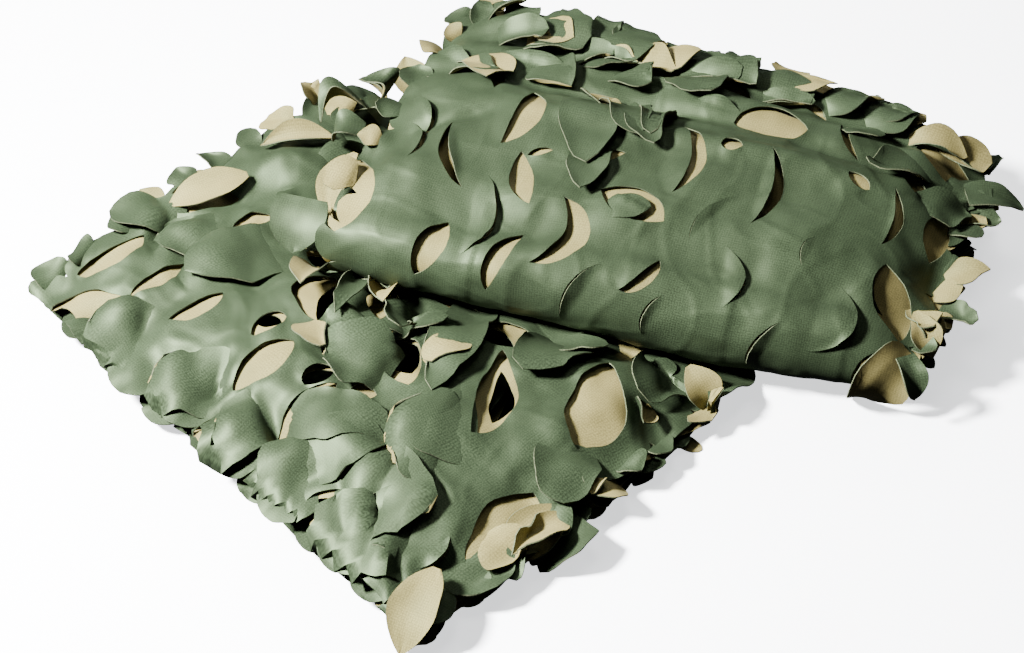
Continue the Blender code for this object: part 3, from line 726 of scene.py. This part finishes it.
# single leaves that lie on a run: mm along it and across it at the leaf's root, turn, length, width, how far
# the tip and the sides lift, and 1 where the tan face is up
looseLeaves = {
    "upper_2": [
        (48, 226, 80, 36, 26, -2, 1, 0), (118, 190, 172, 62, 36, 7, 4, 0), (176, 214, 155, 58, 34, 9, 5, 0),
        (246, 118, 60, 44, 34, 8, 4, 0), (262, 140, 100, 50, 30, 6, 4, 1), (236, 168, 110, 46, 34, 9, 6, 0),
        (272, 196, 75, 44, 30, 10, 4, 1), (250, 236, 60, 50, 36, 8, 5, 0), (280, 250, 110, 48, 34, 9, 5, 0),
        (250, 300, 70, 48, 32, 7, 4, 0), (282, 312, 80, 46, 30, 10, 5, 1), (268, 352, 60, 50, 34, 8, 6, 0),
        (240, 380, 100, 44, 30, 6, 4, 0), (280, 400, 70, 46, 32, 9, 5, 0), (262, 440, 80, 50, 34, 7, 5, 1),
        (286, 466, 110, 44, 30, 10, 4, 0), (206, 30, 120, 48, 34, 6, 4, 0), (250, 44, 70, 52, 36, 9, 5, 0),
        (276, 70, 100, 46, 32, 8, 4, 1), (286, 20, 60, 40, 30, 10, 5, 0), (160, 470, 60, 52, 34, 6, 5, 0),
        (186, 500, 80, 44, 30, 8, 6, 0), (96, 506, 70, 40, 32, 6, 5, 1), (60, 512, 100, 42, 30, 5, 4, 0),
        (197, 161, 164, 113, 56, 7, 5, 0), (203, 180, 147, 83, 42, 8, 5, 0),
        (202, 227, 175, 66, 36, 8, 5, 0), (168, 195, -56, 54, 34, 6, 5, 1), (225, 96, 117, 50, 44, 7, 6, 0),
        (271, 69, 89, 61, 70, 5, 5, 0), (257, 69, 78, 29, 26, 4, 4, 1), (272, 130, 71, 70, 54, 6, 5, 0),
        (258, 174, 83, 49, 40, 3, 4, 1), (278, 219, 95, 56, 56, 7, 5, 0), (246, 130, 80, 55, 44, 6, 5, 0),
        (226, 50, 160, 60, 50, 5, 5, 1), (261, 295, 76, 49, 54, 6, 5, 0), (260, 229, 137, 56, 50, 8, 5, 0),
        (268, 390, 56, 63, 56, 5, 5, 0), (304, 379, 114, 31, 18, 12, 6, 0),
        (222, 463, -142, 70, 50, 6, 5, 0), (268, 471, 76, 40, 36, 9, 7, 1), (222, 488, 98, 39, 56, 6, 5, 0),
        (170, 512, 31, 27, 20, 6, 4, 1), (5, 507, -159, 125, 44, 6, 6, 1), (41, 491, 128, 35, 30, 12, 8, 1),
    ],
    "lower_5": [
        (300, 60, 20, 50, 34, 8, 5, 0), (296, 110, -20, 54, 36, 9, 5, 1), (312, 150, 30, 46, 30, 12, 6, 0),
        (278, 140, 60, 52, 34, 7, 5, 0), (262, 78, 10, 50, 34, 8, 4, 0), (240, 110, 70, 48, 34, 6, 4, 1),
        (254, 176, 100, 56, 36, 10, 6, 0), (210, 206, 80, 50, 34, 8, 5, 0),
        (128, 236, 120, 44, 30, 8, 5, 1), (176, 282, 40, 46, 30, 9, 5, 0), (212, 330, 150, 44, 28, 7, 4, 1),
        (262, 380, 60, 50, 34, 6, 4, 0), (156, 81, -152, 67, 50, 6, 2, 0),
        (174, 132, -164, 82, 74, 6, 2, 0), (142, 37, -131, 71, 46, 4, 4, 0),
        (32, 135, -121, 60, 64, 4, 1, 0), (44, 225, -123, 68, 70, 4, 1, 0),
        (49, 287, -158, 60, 64, 5, 2, 0), (31, 360, -138, 51, 76, 5, 2, 0), (56, 295, 59, 86, 52, 3, 1, 0),
        (144, 324, -115, 61, 64, 6, 2, 0), (29, 338, 28, 72, 58, 6, 1, 0),
        (129, 419, -125, 54, 92, 6, 2, 0), (56, 463, -131, 95, 80, 5, 1, 0),
        (231, 191, 141, 107, 26, 12, 8, 0), (235, 217, 140, 75, 34, 10, 8, 1),
        (194, 162, 137, 72, 30, 8, 9, 1), (267, 294, 148, 144, 44, 8, 5, 0),
        (169, 275, -175, 45, 48, 3, 2, 0), (283, 391, 170, 62, 54, 6, 4, 0),
        (157, 412, -139, 69, 84, 6, 1, 0), (31, 379, 54, 87, 80, 5, 1, 0), (334, 465, 178, 56, 56, 6, 6, 0),
        (287, 474, 148, 33, 22, 8, 8, 1), (199, 474, 137, 55, 56, 6, 5, 0),
        (161, 519, -174, 69, 34, 8, 9, 1), (73, 490, 96, 45, 56, 4, 5, 0), (96, 487, 79, 38, 50, 5, 5, 1),
        (258, 248, -112, 31, 26, 14, 8, 1), (271, 292, -107, 38, 24, 12, 8, 1),
        (269, 367, 7, 54, 40, 6, 6, 0), (206, 280, 174, 44, 34, 10, 6, 0),
    ],
}
# leaf ends that stand out past a run's cut edges: how far apart they are, and how many mm they reach out
edgeLeaves = {
    "lower_5": (40.0, 26.0), "lower_3": (46.0, 24.0), "lower_2": (52.0, 22.0),
    "upper_2": (40.0, 24.0), "upper_4": (50.0, 22.0), "upper_6": (50.0, 22.0), "upper_8": (50.0, 22.0),
}
# leaf ends that stand out past the folds at the back: the same
foldLeaves = {"upper_2": (34.0, 26.0), "lower_5": (44.0, 26.0)}
# leaves that hang off the pile: root and tip in the pile's frame, width, arch, lift of the sides, twist, and
# 1 for tan up
hangingLeaves = {
    "lowerCover": [
        ((-58, -256, 38), (-86, -314, 4), 42, 12, 5, 0, 1),
        ((44, -186, 26), (-8, -226, 5), 44, 6, 9, -12, 1),
        ((60, -196, 22), (22, -232, 3), 40, 4, 6, 10, 0),
        ((58, -168, 28), (90, -146, 8), 48, 6, 4, 0, 1),
        ((150, -40, 42), (171, -60, 8), 32, 8, 5, 20, 1),
        ((-246, 190, 63), (-318, 160, 50), 38, 4, 4, -10, 1),
        ((-170, 240, 68), (-238, 234, 62), 26, 6, 12, -10, 1),
        ((-120, 296, 62), (-148, 304, 88), 34, 6, 6, 30, 0),
        ((-110, 270, 64), (-150, 262, 84), 40, 8, 6, 20, 0),
        ((-90, 300, 66), (-104, 330, 96), 36, 6, 6, -20, 1),
    ],
    "upperCover": [
        ((-123, 146, 112), (-157, 110, 66), 38, 8, 4, 0, 1),
        ((-141, 166, 108), (-168, 124, 64), 32, 8, 8, 10, 1),
        ((412, 143, 78), (468, 144, 60), 36, 5, 5, 0, 0),
        ((346, 0, 68), (360, -30, 40), 26, 10, 6, 20, 1),
        ((-18, 376, 102), (-30, 400, 118), 32, 5, 6, 10, 1),
        ((-40, 360, 104), (-66, 372, 112), 34, 5, 6, 0, 0),
        ((-184, 122, 92), (-196, 84, 60), 50, 6, 4, 0, 0),
        ((-124, 264, 92), (-142, 272, 112), 32, 20, 12, 0, 0),
        ((-141, 262, 90), (-181, 246, 80), 36, 20, 14, 20, 0),
        ((-138, 224, 88), (-168, 226, 74), 34, 12, 8, 0, 0),
        ((331, -46, 60), (340, -69, 30), 24, 6, 6, 0, 0),
        ((350, 5, 60), (361, -19, 40), 24, 10, 8, 0, 1),
    ],
}
# how leaf ends past an edge or a fold vary: turn either way, shares of the reach, and mm of lift
raggedLeaf = {
    "tanShare": 0.3,
    "tuck": {"edge": 6.0, "fold": 14.0},
    "clear": 4.0,  # from the ends of a piece
    "out": 90.0,  # turn of a leaf that points straight out of a cut edge
    "firstPitch": (0.2, 0.8),
    "pitch": (0.7, 1.3),
    "edge": {"turn": (-40.0, 40.0), "length": (0.7, 1.3), "width": (0.8, 1.4), "lift": (-3.0, 6.0)},
    "fold": {"turn": (-45.0, 45.0), "length": (0.8, 1.3), "width": (0.9, 1.4), "lift": (2.0, 9.0)},
    "cup": (-2.0, 5.0),
}
# the shape of every leaf
leafBlade = {
    "cells": (14, 8),
    "taper": (0.55, 0.85),  # green side up, tan side up
    "root": (0.2, 0.04),
    "ragged": (0.14, 3.5, 0.5),  # share of its width, how fine, and place in the noise
    "tuck": 3.5,  # how far under the cloth its root goes, in the first part of its length
    "tuckPower": 5,
    "clear": 1.7,  # over the cloth, once to three times by turns, so that leaves clear one another
    "layers": 3,
    "overDip": 0.4,
    "liftPower": 1.4,
    "shake": (0.8, 14.0, 0.1),  # height and length of its buckling, and how far it differs from leaf to leaf
    "airShake": (1.5, 3.0, 2.0),  # the same in the air: height, and how fine along it and across it
}


def bladeWidth(a, key, tanUp):  # half width of a leaf at share a of its length, as a share of the full half
    t = mix(leafBlade["root"][tanUp], 1.0, a)
    wide = np.sin(math.pi * np.minimum(t, 1.0)) ** leafBlade["taper"][tanUp]
    share, fine, place = leafBlade["ragged"]
    return wide * (1.0 + share * noiseAt(a * fine, key, place))


def addBlade(bm, uv, tanUp, placeAt):  # placeAt turns shares of a leaf's length and half width into places
    long, wide = leafBlade["cells"]
    verts = bmesh.ops.create_grid(bm, x_segments=long, y_segments=wide, size=0.5)["verts"]
    a = np.clip(np.array([v.co.x for v in verts]) + 0.5, 0.0, 1.0)
    b = np.array([v.co.y for v in verts]) * 2.0
    place, flat = placeAt(a, b)
    place = place - np.array(pile["centre"] + (0.0,))
    place[:, 2] = np.maximum(place[:, 2], pile["table"])
    flatOf = {}
    for vert, p, q in zip(verts, place, flat):
        vert.co = Vector(p) * mm
        flatOf[vert] = Vector(q) * mm
    faces = list({face for vert in verts for face in vert.link_faces})
    for face in faces:
        face.smooth = True
        for loop in face.loops:
            loop[uv].uv = flatOf[loop.vert]
    if tanUp:
        bmesh.ops.reverse_faces(bm, faces=faces)


def sheetBlade(bm, uv, run, row, layer):  # a leaf that lies on a run, its root tucked under the cloth
    along, across, turn, length, width, lift, cup, tanUp = row
    c, sn = turnOf(turn)
    shake, shakeLength, unlike = leafBlade["shake"]

    def placeAt(a, b):
        half = width / 2 * bladeWidth(a, along + across, tanUp)
        s = runStart[run] + along + a * length * c + b * half * sn
        w = across + a * length * sn - b * half * c
        rise = leafBlade["clear"] * (1.0 + layer % leafBlade["layers"])
        rise = rise + leafBlade["overDip"] * sunkAt(run, s - runStart[run], w)
        rise += lift * a ** leafBlade["liftPower"] + cup * b * b * np.sin(math.pi * a)
        rise += shake * noiseAt(s / shakeLength, w / shakeLength, along * unlike)
        rise = mix(rise, -leafBlade["tuck"], (1.0 - a) ** leafBlade["tuckPower"])
        return shapeAt(s, w) + sheetNormal(s, w) * rise[:, None], np.stack([s, w], 1)

    addBlade(bm, uv, tanUp, placeAt)


def hangingBlade(bm, uv, row):  # a leaf between two points in the air
    root, tip, width, arch, cup, twist, tanUp = row
    root, tip = Vector(root), Vector(tip)
    out = tip - root
    side = Vector((0.0, 0.0, 1.0)).cross(out).normalized()
    side.rotate(Quaternion(out.normalized(), math.radians(twist)))
    up = out.cross(side).normalized()
    root, out, side, up = (np.array(v) for v in (root, out, side, up))
    shake, alongFine, acrossFine = leafBlade["airShake"]

    def placeAt(a, b):
        half = width / 2 * bladeWidth(a, root[0], tanUp)
        rise = (arch + cup * b * b) * np.sin(math.pi * a)
        rise += shake * noiseAt(a * alongFine, b * acrossFine, root[1])
        place = root + a[:, None] * out + (b * half)[:, None] * side + rise[:, None] * up
        return place, np.stack([a * np.linalg.norm(out), b * half], 1) + root[:2]

    addBlade(bm, uv, tanUp, placeAt)


def raggedRow(generator, kind, along, across, turn, reach):
    tanUp = int(generator.uniform() < raggedLeaf["tanShare"])
    shape = raggedLeaf[kind]
    turn += generator.uniform(*shape["turn"])
    length, width = (reach * generator.uniform(*shape[key]) for key in ("length", "width"))
    lift, cup = generator.uniform(*shape["lift"]), generator.uniform(*raggedLeaf["cup"])
    return along, across, turn, length, width, lift, cup, tanUp


def raggedRows(run, first, last, seed):  # leaf ends along a run's cut edges, and past its fold at the back
    generator = np.random.default_rng(seed)
    length = runNamed[run][7]
    tuck = raggedLeaf["tuck"]
    rows = []
    if run in edgeLeaves:
        pitch, reach = edgeLeaves[run]
        out = raggedLeaf["out"]
        for across, turn in ((tuck["edge"], -out), (pile["width"] - tuck["edge"], out)):
            along = pitch * generator.uniform(*raggedLeaf["firstPitch"])
            while along < length:
                rows.append(raggedRow(generator, "edge", along, across, turn, reach))
                along += pitch * generator.uniform(*raggedLeaf["pitch"])
    if run in foldLeaves:
        pitch, reach = foldLeaves[run]
        across = pitch * generator.uniform(*raggedLeaf["firstPitch"])
        while across < pile["width"]:
            rows.append(raggedRow(generator, "fold", length - tuck["fold"], across, 0.0, reach))
            across += pitch * generator.uniform(*raggedLeaf["pitch"])
    clear = raggedLeaf["clear"]
    return [row for row in rows if first + clear < runStart[run] + row[0] < last - clear]


def buildLeaves(name, first, last, seed):  # the single leaves on a piece of the sheet, as one piece
    bm = bmesh.new()
    uv = bm.loops.layers.uv.new("cloth")
    for run, rows in looseLeaves.items():
        for layer, row in enumerate(rows):
            if first < runStart[run] + row[0] < last:
                sheetBlade(bm, uv, run, row, layer)
    for index, run in enumerate(sorted(set(edgeLeaves) | set(foldLeaves))):
        for layer, row in enumerate(raggedRows(run, first, last, seed + index)):
            sheetBlade(bm, uv, run, row, layer)
    for row in hangingLeaves.get(name, []):
        hangingBlade(bm, uv, row)
    if not bm.faces:
        bm.free()
        return None
    obj = finishCloth(bm, name + "Leaves")
    report("%s: %d triangles" % (obj.name, 2 * len(obj.data.polygons)))
    return obj


# how the flat pattern of a piece is cut and meshed, in mm where it isn't a share
pattern = {
    "clear": 4.0,  # between the ends of a piece and its cuts
    "arcCell": 3.2,  # longest step along a cut
    "borderCell": 4.0,  # longest step along the strip's edges
    "endCells": 100,  # steps across an end, the same in both pieces that meet there
    "rough": {"leaf": 0.45, "deep": 0.5, "tongue": 0.35},
    "gapRough": 0.2,  # most raggedness of a tongue's cut, as a share of its gap
    "past": 24.0,  # how far the grid of points goes past the fold lines' ends
    "rowStep": 0.866,  # its rows' distance in cells
    "shake": 0.16,  # in cells, either way
    "nearCut": 0.6,  # cells next to a cut without points
    "same": 1e-4,
    "lowest": 0.1,  # under the table's layer
}


def repeatRings(first, last, cell, seed):  # the regular repeat of leaves on the runs and folds inside
    generator = np.random.default_rng(seed)
    rings = []
    pitch, turns, swing = (leafRepeat[key] for key in ("pitch", "turns", "swing"))
    rows = int((last - first) / pitch[0])
    for i in range(rows):
        s = first + (i + 0.5) * (last - first) / rows
        w = leafRepeat["ends"][0] + (i % 2) * pitch[1] / 2
        while w < pile["width"] - leafRepeat["ends"][1]:
            turn = turns[len(rings) % len(turns)] + generator.uniform(-swing, swing)
            bow = leafRepeat["bow"] * generator.uniform(*leafRepeat["bowShare"])
            chord = leafRepeat["chord"] * generator.uniform(*leafRepeat["chordShare"])
            row = (s, w, turn, chord, -bow, bow * leafRepeat["otherBow"])
            rings.append(leafRing(row, 0.0, cell, pattern["rough"]["deep"]))
            w += pitch[1] * generator.uniform(*leafRepeat["pitchShare"])
    return rings


def allCuts(first, last, cell, seed):  # the outlines of a piece's cuts, and the rows of its tongues
    rings, rolled = [], []
    clear, rough = pattern["clear"], pattern["rough"]
    for run, rows in leaves.items():
        for row in rows:
            if first + clear < runStart[run] + row[0] < last - clear:
                rings.append(leafRing(row, runStart[run], cell, rough["leaf"]))
    for free, table in ((False, tongues), (True, foldTongues)):
        for run, rows in table.items():
            for row in rows:
                row = row + (0, 0, 0) if free else row
                if row[5] > 0 and first + clear < runStart[run] + row[0] < last - clear:
                    cut = row[:5] + (row[4] - row[5] * math.copysign(1.0, row[4]),)
                    ragged = min(rough["tongue"], row[5] * pattern["gapRough"])
                    rings.append(leafRing(cut, runStart[run], cell, ragged))
                    rolled.append((row, runStart[run], free))
    for found in deepRings(cell).values():
        rings += [r for r in found if r[:, 0].min() > first + clear and r[:, 0].max() < last - clear]
    for begin, end in hiddenSpans:
        if begin >= first - 1.0 and end <= last + 1.0:
            for ring in repeatRings(begin, end, cell, seed):
                middle = ring.mean(0)
                if not any(np.hypot(*(other.mean(0) - middle)) < leafRepeat["apart"] for other in rings):
                    rings.append(ring)
    return rings, rolled


def borderOf(first, last, cell):
    width = pile["width"]
    rows = np.linspace(first, last, int(round((last - first) / min(cell, pattern["borderCell"]))) + 1)
    left = np.stack([rows, edgeWave(rows, 0)], 1)
    right = np.stack([rows, width - edgeWave(rows, 1)], 1)
    share = np.linspace(0.0, 1.0, pattern["endCells"] + 1)[1:-1]
    bottom, top = (np.stack([np.full(len(share), s), mix(left[k, 1], right[k, 1], share)], 1)
                   for s, k in ((first, 0), (last, -1)))
    return np.concatenate([left, top, right[::-1], bottom[::-1]])


def meshPattern(border, rings, first, last, cell, seed):  # flat points, and the triangles of the cut sheet
    generator = np.random.default_rng(seed)
    edges, total = [], 0
    for ring in [border] + rings:
        edges += [(total + i, total + (i + 1) % len(ring)) for i in range(len(ring))]
        total += len(ring)
    fixed = np.concatenate([border] + rings)
    tree = kdtree.KDTree(len(fixed))
    for i, (s, w) in enumerate(fixed):
        tree.insert((s, w, 0.0), i)
    tree.balance()
    grid, past = [], pattern["past"]
    lines = int((last - first) / (cell * pattern["rowStep"]))
    for i in range(1, lines):
        w = np.arange(-past + (i % 2) * cell / 2, pile["width"] + past, cell)
        grid.append(np.stack([np.full(len(w), first + (last - first) * i / lines), w], 1))
    grid = np.concatenate(grid)
    grid += generator.uniform(-pattern["shake"], pattern["shake"], grid.shape) * cell
    keep = insideRing(grid, border)
    keep &= np.array([tree.find((s, w, 0.0))[2] > cell * pattern["nearCut"] for s, w in grid])
    for ring in rings:
        keep &= ~insideRing(grid, ring)
    flat = [Vector(p) for p in np.concatenate([fixed, grid[keep]])]
    found, _, triangles, _, _, _ = geometry.delaunay_2d_cdt(flat, edges, [], 0, pattern["same"])
    found, triangles = np.array(found), np.array(triangles)
    middle = found[triangles].mean(1)
    kept = insideRing(middle, border)
    for ring in rings:
        kept &= ~insideRing(middle, ring)
    return found, triangles[kept]


def buildPiece(name, first, last, cell, seed):  # one piece of the sheet: cut out flat, then folded
    rings, rolled = allCuts(first, last, min(cell, pattern["arcCell"]), seed)
    border = borderOf(first, last, cell)
    found, triangles = meshPattern(border, rings, first, last, cell, seed)
    s, w = found[:, 0], found[:, 1]
    place = shapeAt(s, w)
    for row, start, free in rolled:
        chord, bow, gap = row[3:6]
        x, y = localOf(row, start, s, w)
        y = y * math.copysign(1.0, bow)
        limit = arcHeight(onChord(x, chord), chord, abs(bow) - gap * 0.5)
        flap = np.where((np.abs(x) < chord / 2) & (y > 0.0) & (y <= limit))[0]
        if len(flap):
            place[flap] = rollTongue(row, start, s[flap], w[flap], free)
    place -= np.array(pile["centre"] + (0.0,))
    place[:, 2] = np.maximum(place[:, 2], pile["table"] - pattern["lowest"])
    corners = found[triangles]
    area = 0.5 * np.abs(np.cross(corners[:, 1] - corners[:, 0], corners[:, 2] - corners[:, 0])).sum()
    bm = bmesh.new()
    uv = bm.loops.layers.uv.new("cloth")
    verts = [bm.verts.new(p * mm) for p in place]
    for a, b, c in triangles:
        face = bm.faces.new((verts[a], verts[c], verts[b]))
        face.smooth = True
        for loop, k in zip(face.loops, (a, c, b)):
            loop[uv].uv = (s[k] * mm, w[k] * mm)
    bmesh.ops.delete(bm, geom=[v for v in bm.verts if not v.link_faces], context="VERTS")
    dropIslands(bm)
    obj = finishCloth(bm, name)
    obj["flat_area"] = float(area) * mm * mm
    obj["flat_size"] = (float(np.ptp(border[:, 1])) * mm, (last - first) * mm)
    report("%s: %d triangles, %.3f m2" % (name, len(obj.data.polygons), area * mm * mm))
    return obj


def dropIslands(bm):  # removes scraps that the cuts part from the sheet
    seen, groups = set(), []
    for vert in bm.verts:
        if vert in seen:
            continue
        group, stack = [], [vert]
        seen.add(vert)
        while stack:
            v = stack.pop()
            group.append(v)
            for edge in v.link_edges:
                other = edge.other_vert(v)
                if other not in seen:
                    seen.add(other)
                    stack.append(other)
        groups.append(group)
    groups.sort(key=len, reverse=True)
    for group in groups[1:]:
        bmesh.ops.delete(bm, geom=group, context="VERTS")


clothThick = 1.0
sharpAngle = 50


def finishCloth(bm, name):  # thin cloth from an open surface: green side, tan side and cut edge
    mesh = bpy.data.meshes.new(name)
    bm.to_mesh(mesh)
    bm.free()
    obj = bpy.data.objects.new(name, mesh)
    bpy.context.scene.collection.objects.link(obj)
    for material in (greenCloth, tanCloth, cutEdge):
        mesh.materials.append(material)
    thick = obj.modifiers.new("cloth", "SOLIDIFY")
    thick.thickness = clothThick * mm
    thick.offset = 0.0
    thick.material_offset = 1
    thick.material_offset_rim = 2
    deps = bpy.context.evaluated_depsgraph_get()
    solid = bpy.data.meshes.new_from_object(obj.evaluated_get(deps))
    obj.modifiers.remove(thick)
    obj.data = solid
    solid.name = name
    bpy.data.meshes.remove(mesh)
    solid.shade_smooth()
    solid.set_sharp_from_angle(angle=math.radians(sharpAngle))
    return obj


def node(tree, kind, **values):
    new = tree.nodes.new(kind)
    for key, value in values.items():
        if hasattr(new, key):
            setattr(new, key, value)
        else:
            new.inputs[key].default_value = value
    return new


def mapRange(tree, source, low, high, toLow=0.0, toHigh=1.0):
    new = node(tree, "ShaderNodeMapRange", clamp=True,
               **{"From Min": low, "From Max": high, "To Min": toLow, "To Max": toHigh})
    tree.links.new(source, new.inputs["Value"])
    return new.outputs["Result"]


# a plain weave: its threads and soft patches, as texture scales, and the share of its speckle in the bump
weave = {"threads": 146.0, "patches": 14.0, "speckleHeight": 0.9}


def clothGroup():  # grain, patchiness and bump height of the woven cloth, along the cloth's own thread lines
    tree = bpy.data.node_groups.new("woven cloth", "ShaderNodeTree")
    for way, sockets in (("INPUT", ("Speckle", "Threads")), ("OUTPUT", ("Grain", "Patch", "Height"))):
        for socket in sockets:
            tree.interface.new_socket(socket, in_out=way, socket_type="NodeSocketFloat")
    link = tree.links.new
    uv = node(tree, "ShaderNodeUVMap", uv_map="cloth")
    given, out = tree.nodes.new("NodeGroupInput"), tree.nodes.new("NodeGroupOutput")
    speck = node(tree, "ShaderNodeTexNoise", Detail=1.0, Roughness=0.5)
    link(given.outputs["Speckle"], speck.inputs["Scale"])
    link(uv.outputs["UV"], speck.inputs["Vector"])
    coords = node(tree, "ShaderNodeTexCoord")
    patch = node(tree, "ShaderNodeTexNoise", Scale=weave["patches"], Detail=4.0, Roughness=0.55)
    link(coords.outputs["Object"], patch.inputs["Vector"])
    link(patch.outputs["Fac"], out.inputs["Patch"])
    threads = node(tree, "ShaderNodeMath", operation="MULTIPLY")
    for k, direction in enumerate("XY"):
        wave = node(tree, "ShaderNodeTexWave", wave_type="BANDS", bands_direction=direction,
                    Scale=weave["threads"], Distortion=0.4, Detail=1.0)
        link(uv.outputs["UV"], wave.inputs["Vector"])
        link(wave.outputs["Fac"], threads.inputs[k])
    grain = node(tree, "ShaderNodeMath", operation="MULTIPLY_ADD")
    link(given.outputs["Threads"], grain.inputs[1])
    height = node(tree, "ShaderNodeMath", operation="MULTIPLY_ADD")
    height.inputs[1].default_value = weave["speckleHeight"]
    for socket, both, times, plus in (("Grain", grain, threads.outputs[0], speck.outputs["Fac"]),
                                      ("Height", height, speck.outputs["Fac"], threads.outputs[0])):
        link(times, both.inputs[0])
        link(plus, both.inputs[2])
        link(both.outputs[0], out.inputs[socket])
    return tree


# what all the cloth's surfaces share: shine, how the grain and the patches spread, and the height of the bump
finish = {"specular": 0.28, "tint": (0.68, 0.92, 0.5, 1.0), "sheenRough": 0.4, "grain": (0.36, 0.76),
          "patch": (0.3, 0.7, 0.7, 1.14), "height": 0.00035}
# each surface's own colours, shine and bump, the scale of its speckle and the share of threads in its grain
looks = {
    "green cloth": {"dark": (0.0058, 0.0086, 0.0045), "light": (0.0192, 0.0283, 0.0147), "rough": 0.52,
                    "sheen": 0.0, "bump": 0.03, "speckle": 880.0, "threads": 0.28},
    "tan cloth": {"dark": (0.084, 0.069, 0.025), "light": (0.138, 0.115, 0.0435), "rough": 0.7,
                  "sheen": 0.01, "bump": 0.03, "speckle": 880.0, "threads": 0.28},
    "cut edge": {"dark": (0.03, 0.036, 0.02), "light": (0.07, 0.076, 0.045), "rough": 0.8,
                 "sheen": 0.02, "bump": 0.2, "speckle": 880.0, "threads": 0.28},
}


def clothMaterial(name):
    look = looks[name]
    material = bpy.data.materials.new(name)
    material.use_nodes = True
    tree = material.node_tree
    link = tree.links.new
    shader = tree.nodes["Principled BSDF"]
    grain = node(tree, "ShaderNodeGroup", node_tree=wovenCloth,
                 Speckle=look["speckle"], Threads=look["threads"])
    colour = node(tree, "ShaderNodeMix", data_type="RGBA", A=look["dark"] + (1.0,), B=look["light"] + (1.0,))
    link(mapRange(tree, grain.outputs["Grain"], *finish["grain"]), colour.inputs["Factor"])
    patch = node(tree, "ShaderNodeHueSaturation", Saturation=1.0)
    link(mapRange(tree, grain.outputs["Patch"], *finish["patch"]), patch.inputs["Value"])
    link(colour.outputs["Result"], patch.inputs["Color"])
    link(patch.outputs["Color"], shader.inputs["Base Color"])
    for socket, value in (("Roughness", look["rough"]), ("Sheen Weight", look["sheen"]),
                          ("Sheen Roughness", finish["sheenRough"]),
                          ("Specular IOR Level", finish["specular"]), ("Specular Tint", finish["tint"])):
        shader.inputs[socket].default_value = value
    raised = node(tree, "ShaderNodeBump", Strength=look["bump"], Distance=finish["height"])
    link(grain.outputs["Height"], raised.inputs["Height"])
    link(raised.outputs["Normal"], shader.inputs["Normal"])
    return material


wovenCloth = clothGroup()
greenCloth, tanCloth, cutEdge = (clothMaterial(name) for name in looks)

hiddenSpans = [(runStart[begin] + hiddenMargin, runStart[end] - hiddenMargin) for begin, end in hiddenRuns]

firstSeed = 3

netPieces = []
for seed, (name, startRun, startBy, endRun, endBy, cell) in enumerate(pieces, firstSeed):
    first, last = runStart[startRun] + startBy, runStart[endRun] + endBy
    netPieces.append((buildPiece(name, first, last, cell, seed), buildLeaves(name, first, last, seed)))

for piece, onIt in netPieces:
    for part in (piece, onIt):
        if part:
            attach(part, "root")
            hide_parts("net")

# a pale floor, soft light and the camera, in metres
stage = {
    "floorHalf": 30.0,
    "floor": (0.93, 0.94, 0.96, 1.0),
    "floorRough": 0.9,
    "glow": (0.96, 0.98, 1.0, 1.0),
    "glowStrength": 1.3,
    "world": (0.93, 0.96, 1.0, 1.0),
    "worldStrength": 0.06,
    "lightAim": (0.0, 0.0, 0.05),
}
# place, size, power
lights = {
    "key": ((-1.4, -0.3, 1.5), 0.35, 580.0),
    "top": ((0.0, 0.3, 2.2), 0.8, 12.0),
    "back": ((0.5, 1.7, 1.0), 1.0, 36.0),
}
view = {"lens": 67.18, "sensor": 36.0, "aim": (-0.012, -0.0435, 0.05), "down": 44.0, "away": 1.65}

floorMesh = bpy.data.meshes.new("floor")
bm = bmesh.new()
bmesh.ops.create_grid(bm, x_segments=1, y_segments=1, size=stage["floorHalf"])
bm.to_mesh(floorMesh)
bm.free()
floor = bpy.data.objects.new("floor", floorMesh)
bpy.context.scene.collection.objects.link(floor)
pale = bpy.data.materials.new("pale floor")
pale.use_nodes = True
for socket, key in (("Base Color", "floor"), ("Roughness", "floorRough"), ("Emission Color", "glow"),
                    ("Emission Strength", "glowStrength")):
    pale.node_tree.nodes["Principled BSDF"].inputs[socket].default_value = stage[key]
floorMesh.materials.append(pale)
floor.visible_diffuse = False  # so that the pale floor doesn't light the pile's sides
floor.visible_glossy = False

world = bpy.data.worlds.new("studio")
bpy.context.scene.world = world
world.use_nodes = True
world.node_tree.nodes["Background"].inputs["Color"].default_value = stage["world"]
world.node_tree.nodes["Background"].inputs["Strength"].default_value = stage["worldStrength"]

for name, (place, size, power) in lights.items():
    data = bpy.data.lights.new(name, "AREA")
    data.shape = "DISK"
    data.size = size
    data.energy = power
    lamp = bpy.data.objects.new(name, data)
    lamp.location = place
    lamp.rotation_euler = (Vector(stage["lightAim"]) - Vector(place)).to_track_quat("-Z", "Y").to_euler()
    lamp.visible_glossy = name != "back"
    bpy.context.scene.collection.objects.link(lamp)

cameraData = bpy.data.cameras.new("camera")
cameraData.lens = view["lens"]
cameraData.sensor_width = view["sensor"]
camera = bpy.data.objects.new("camera", cameraData)
aim, down = Vector(view["aim"]), math.radians(view["down"])
camera.location = aim + view["away"] * Vector((0.0, -math.cos(down), math.sin(down)))
camera.rotation_euler = (aim - camera.location).to_track_quat("-Z", "Y").to_euler()
bpy.context.scene.collection.objects.link(camera)
bpy.context.scene.camera = camera

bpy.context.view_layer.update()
report("done")
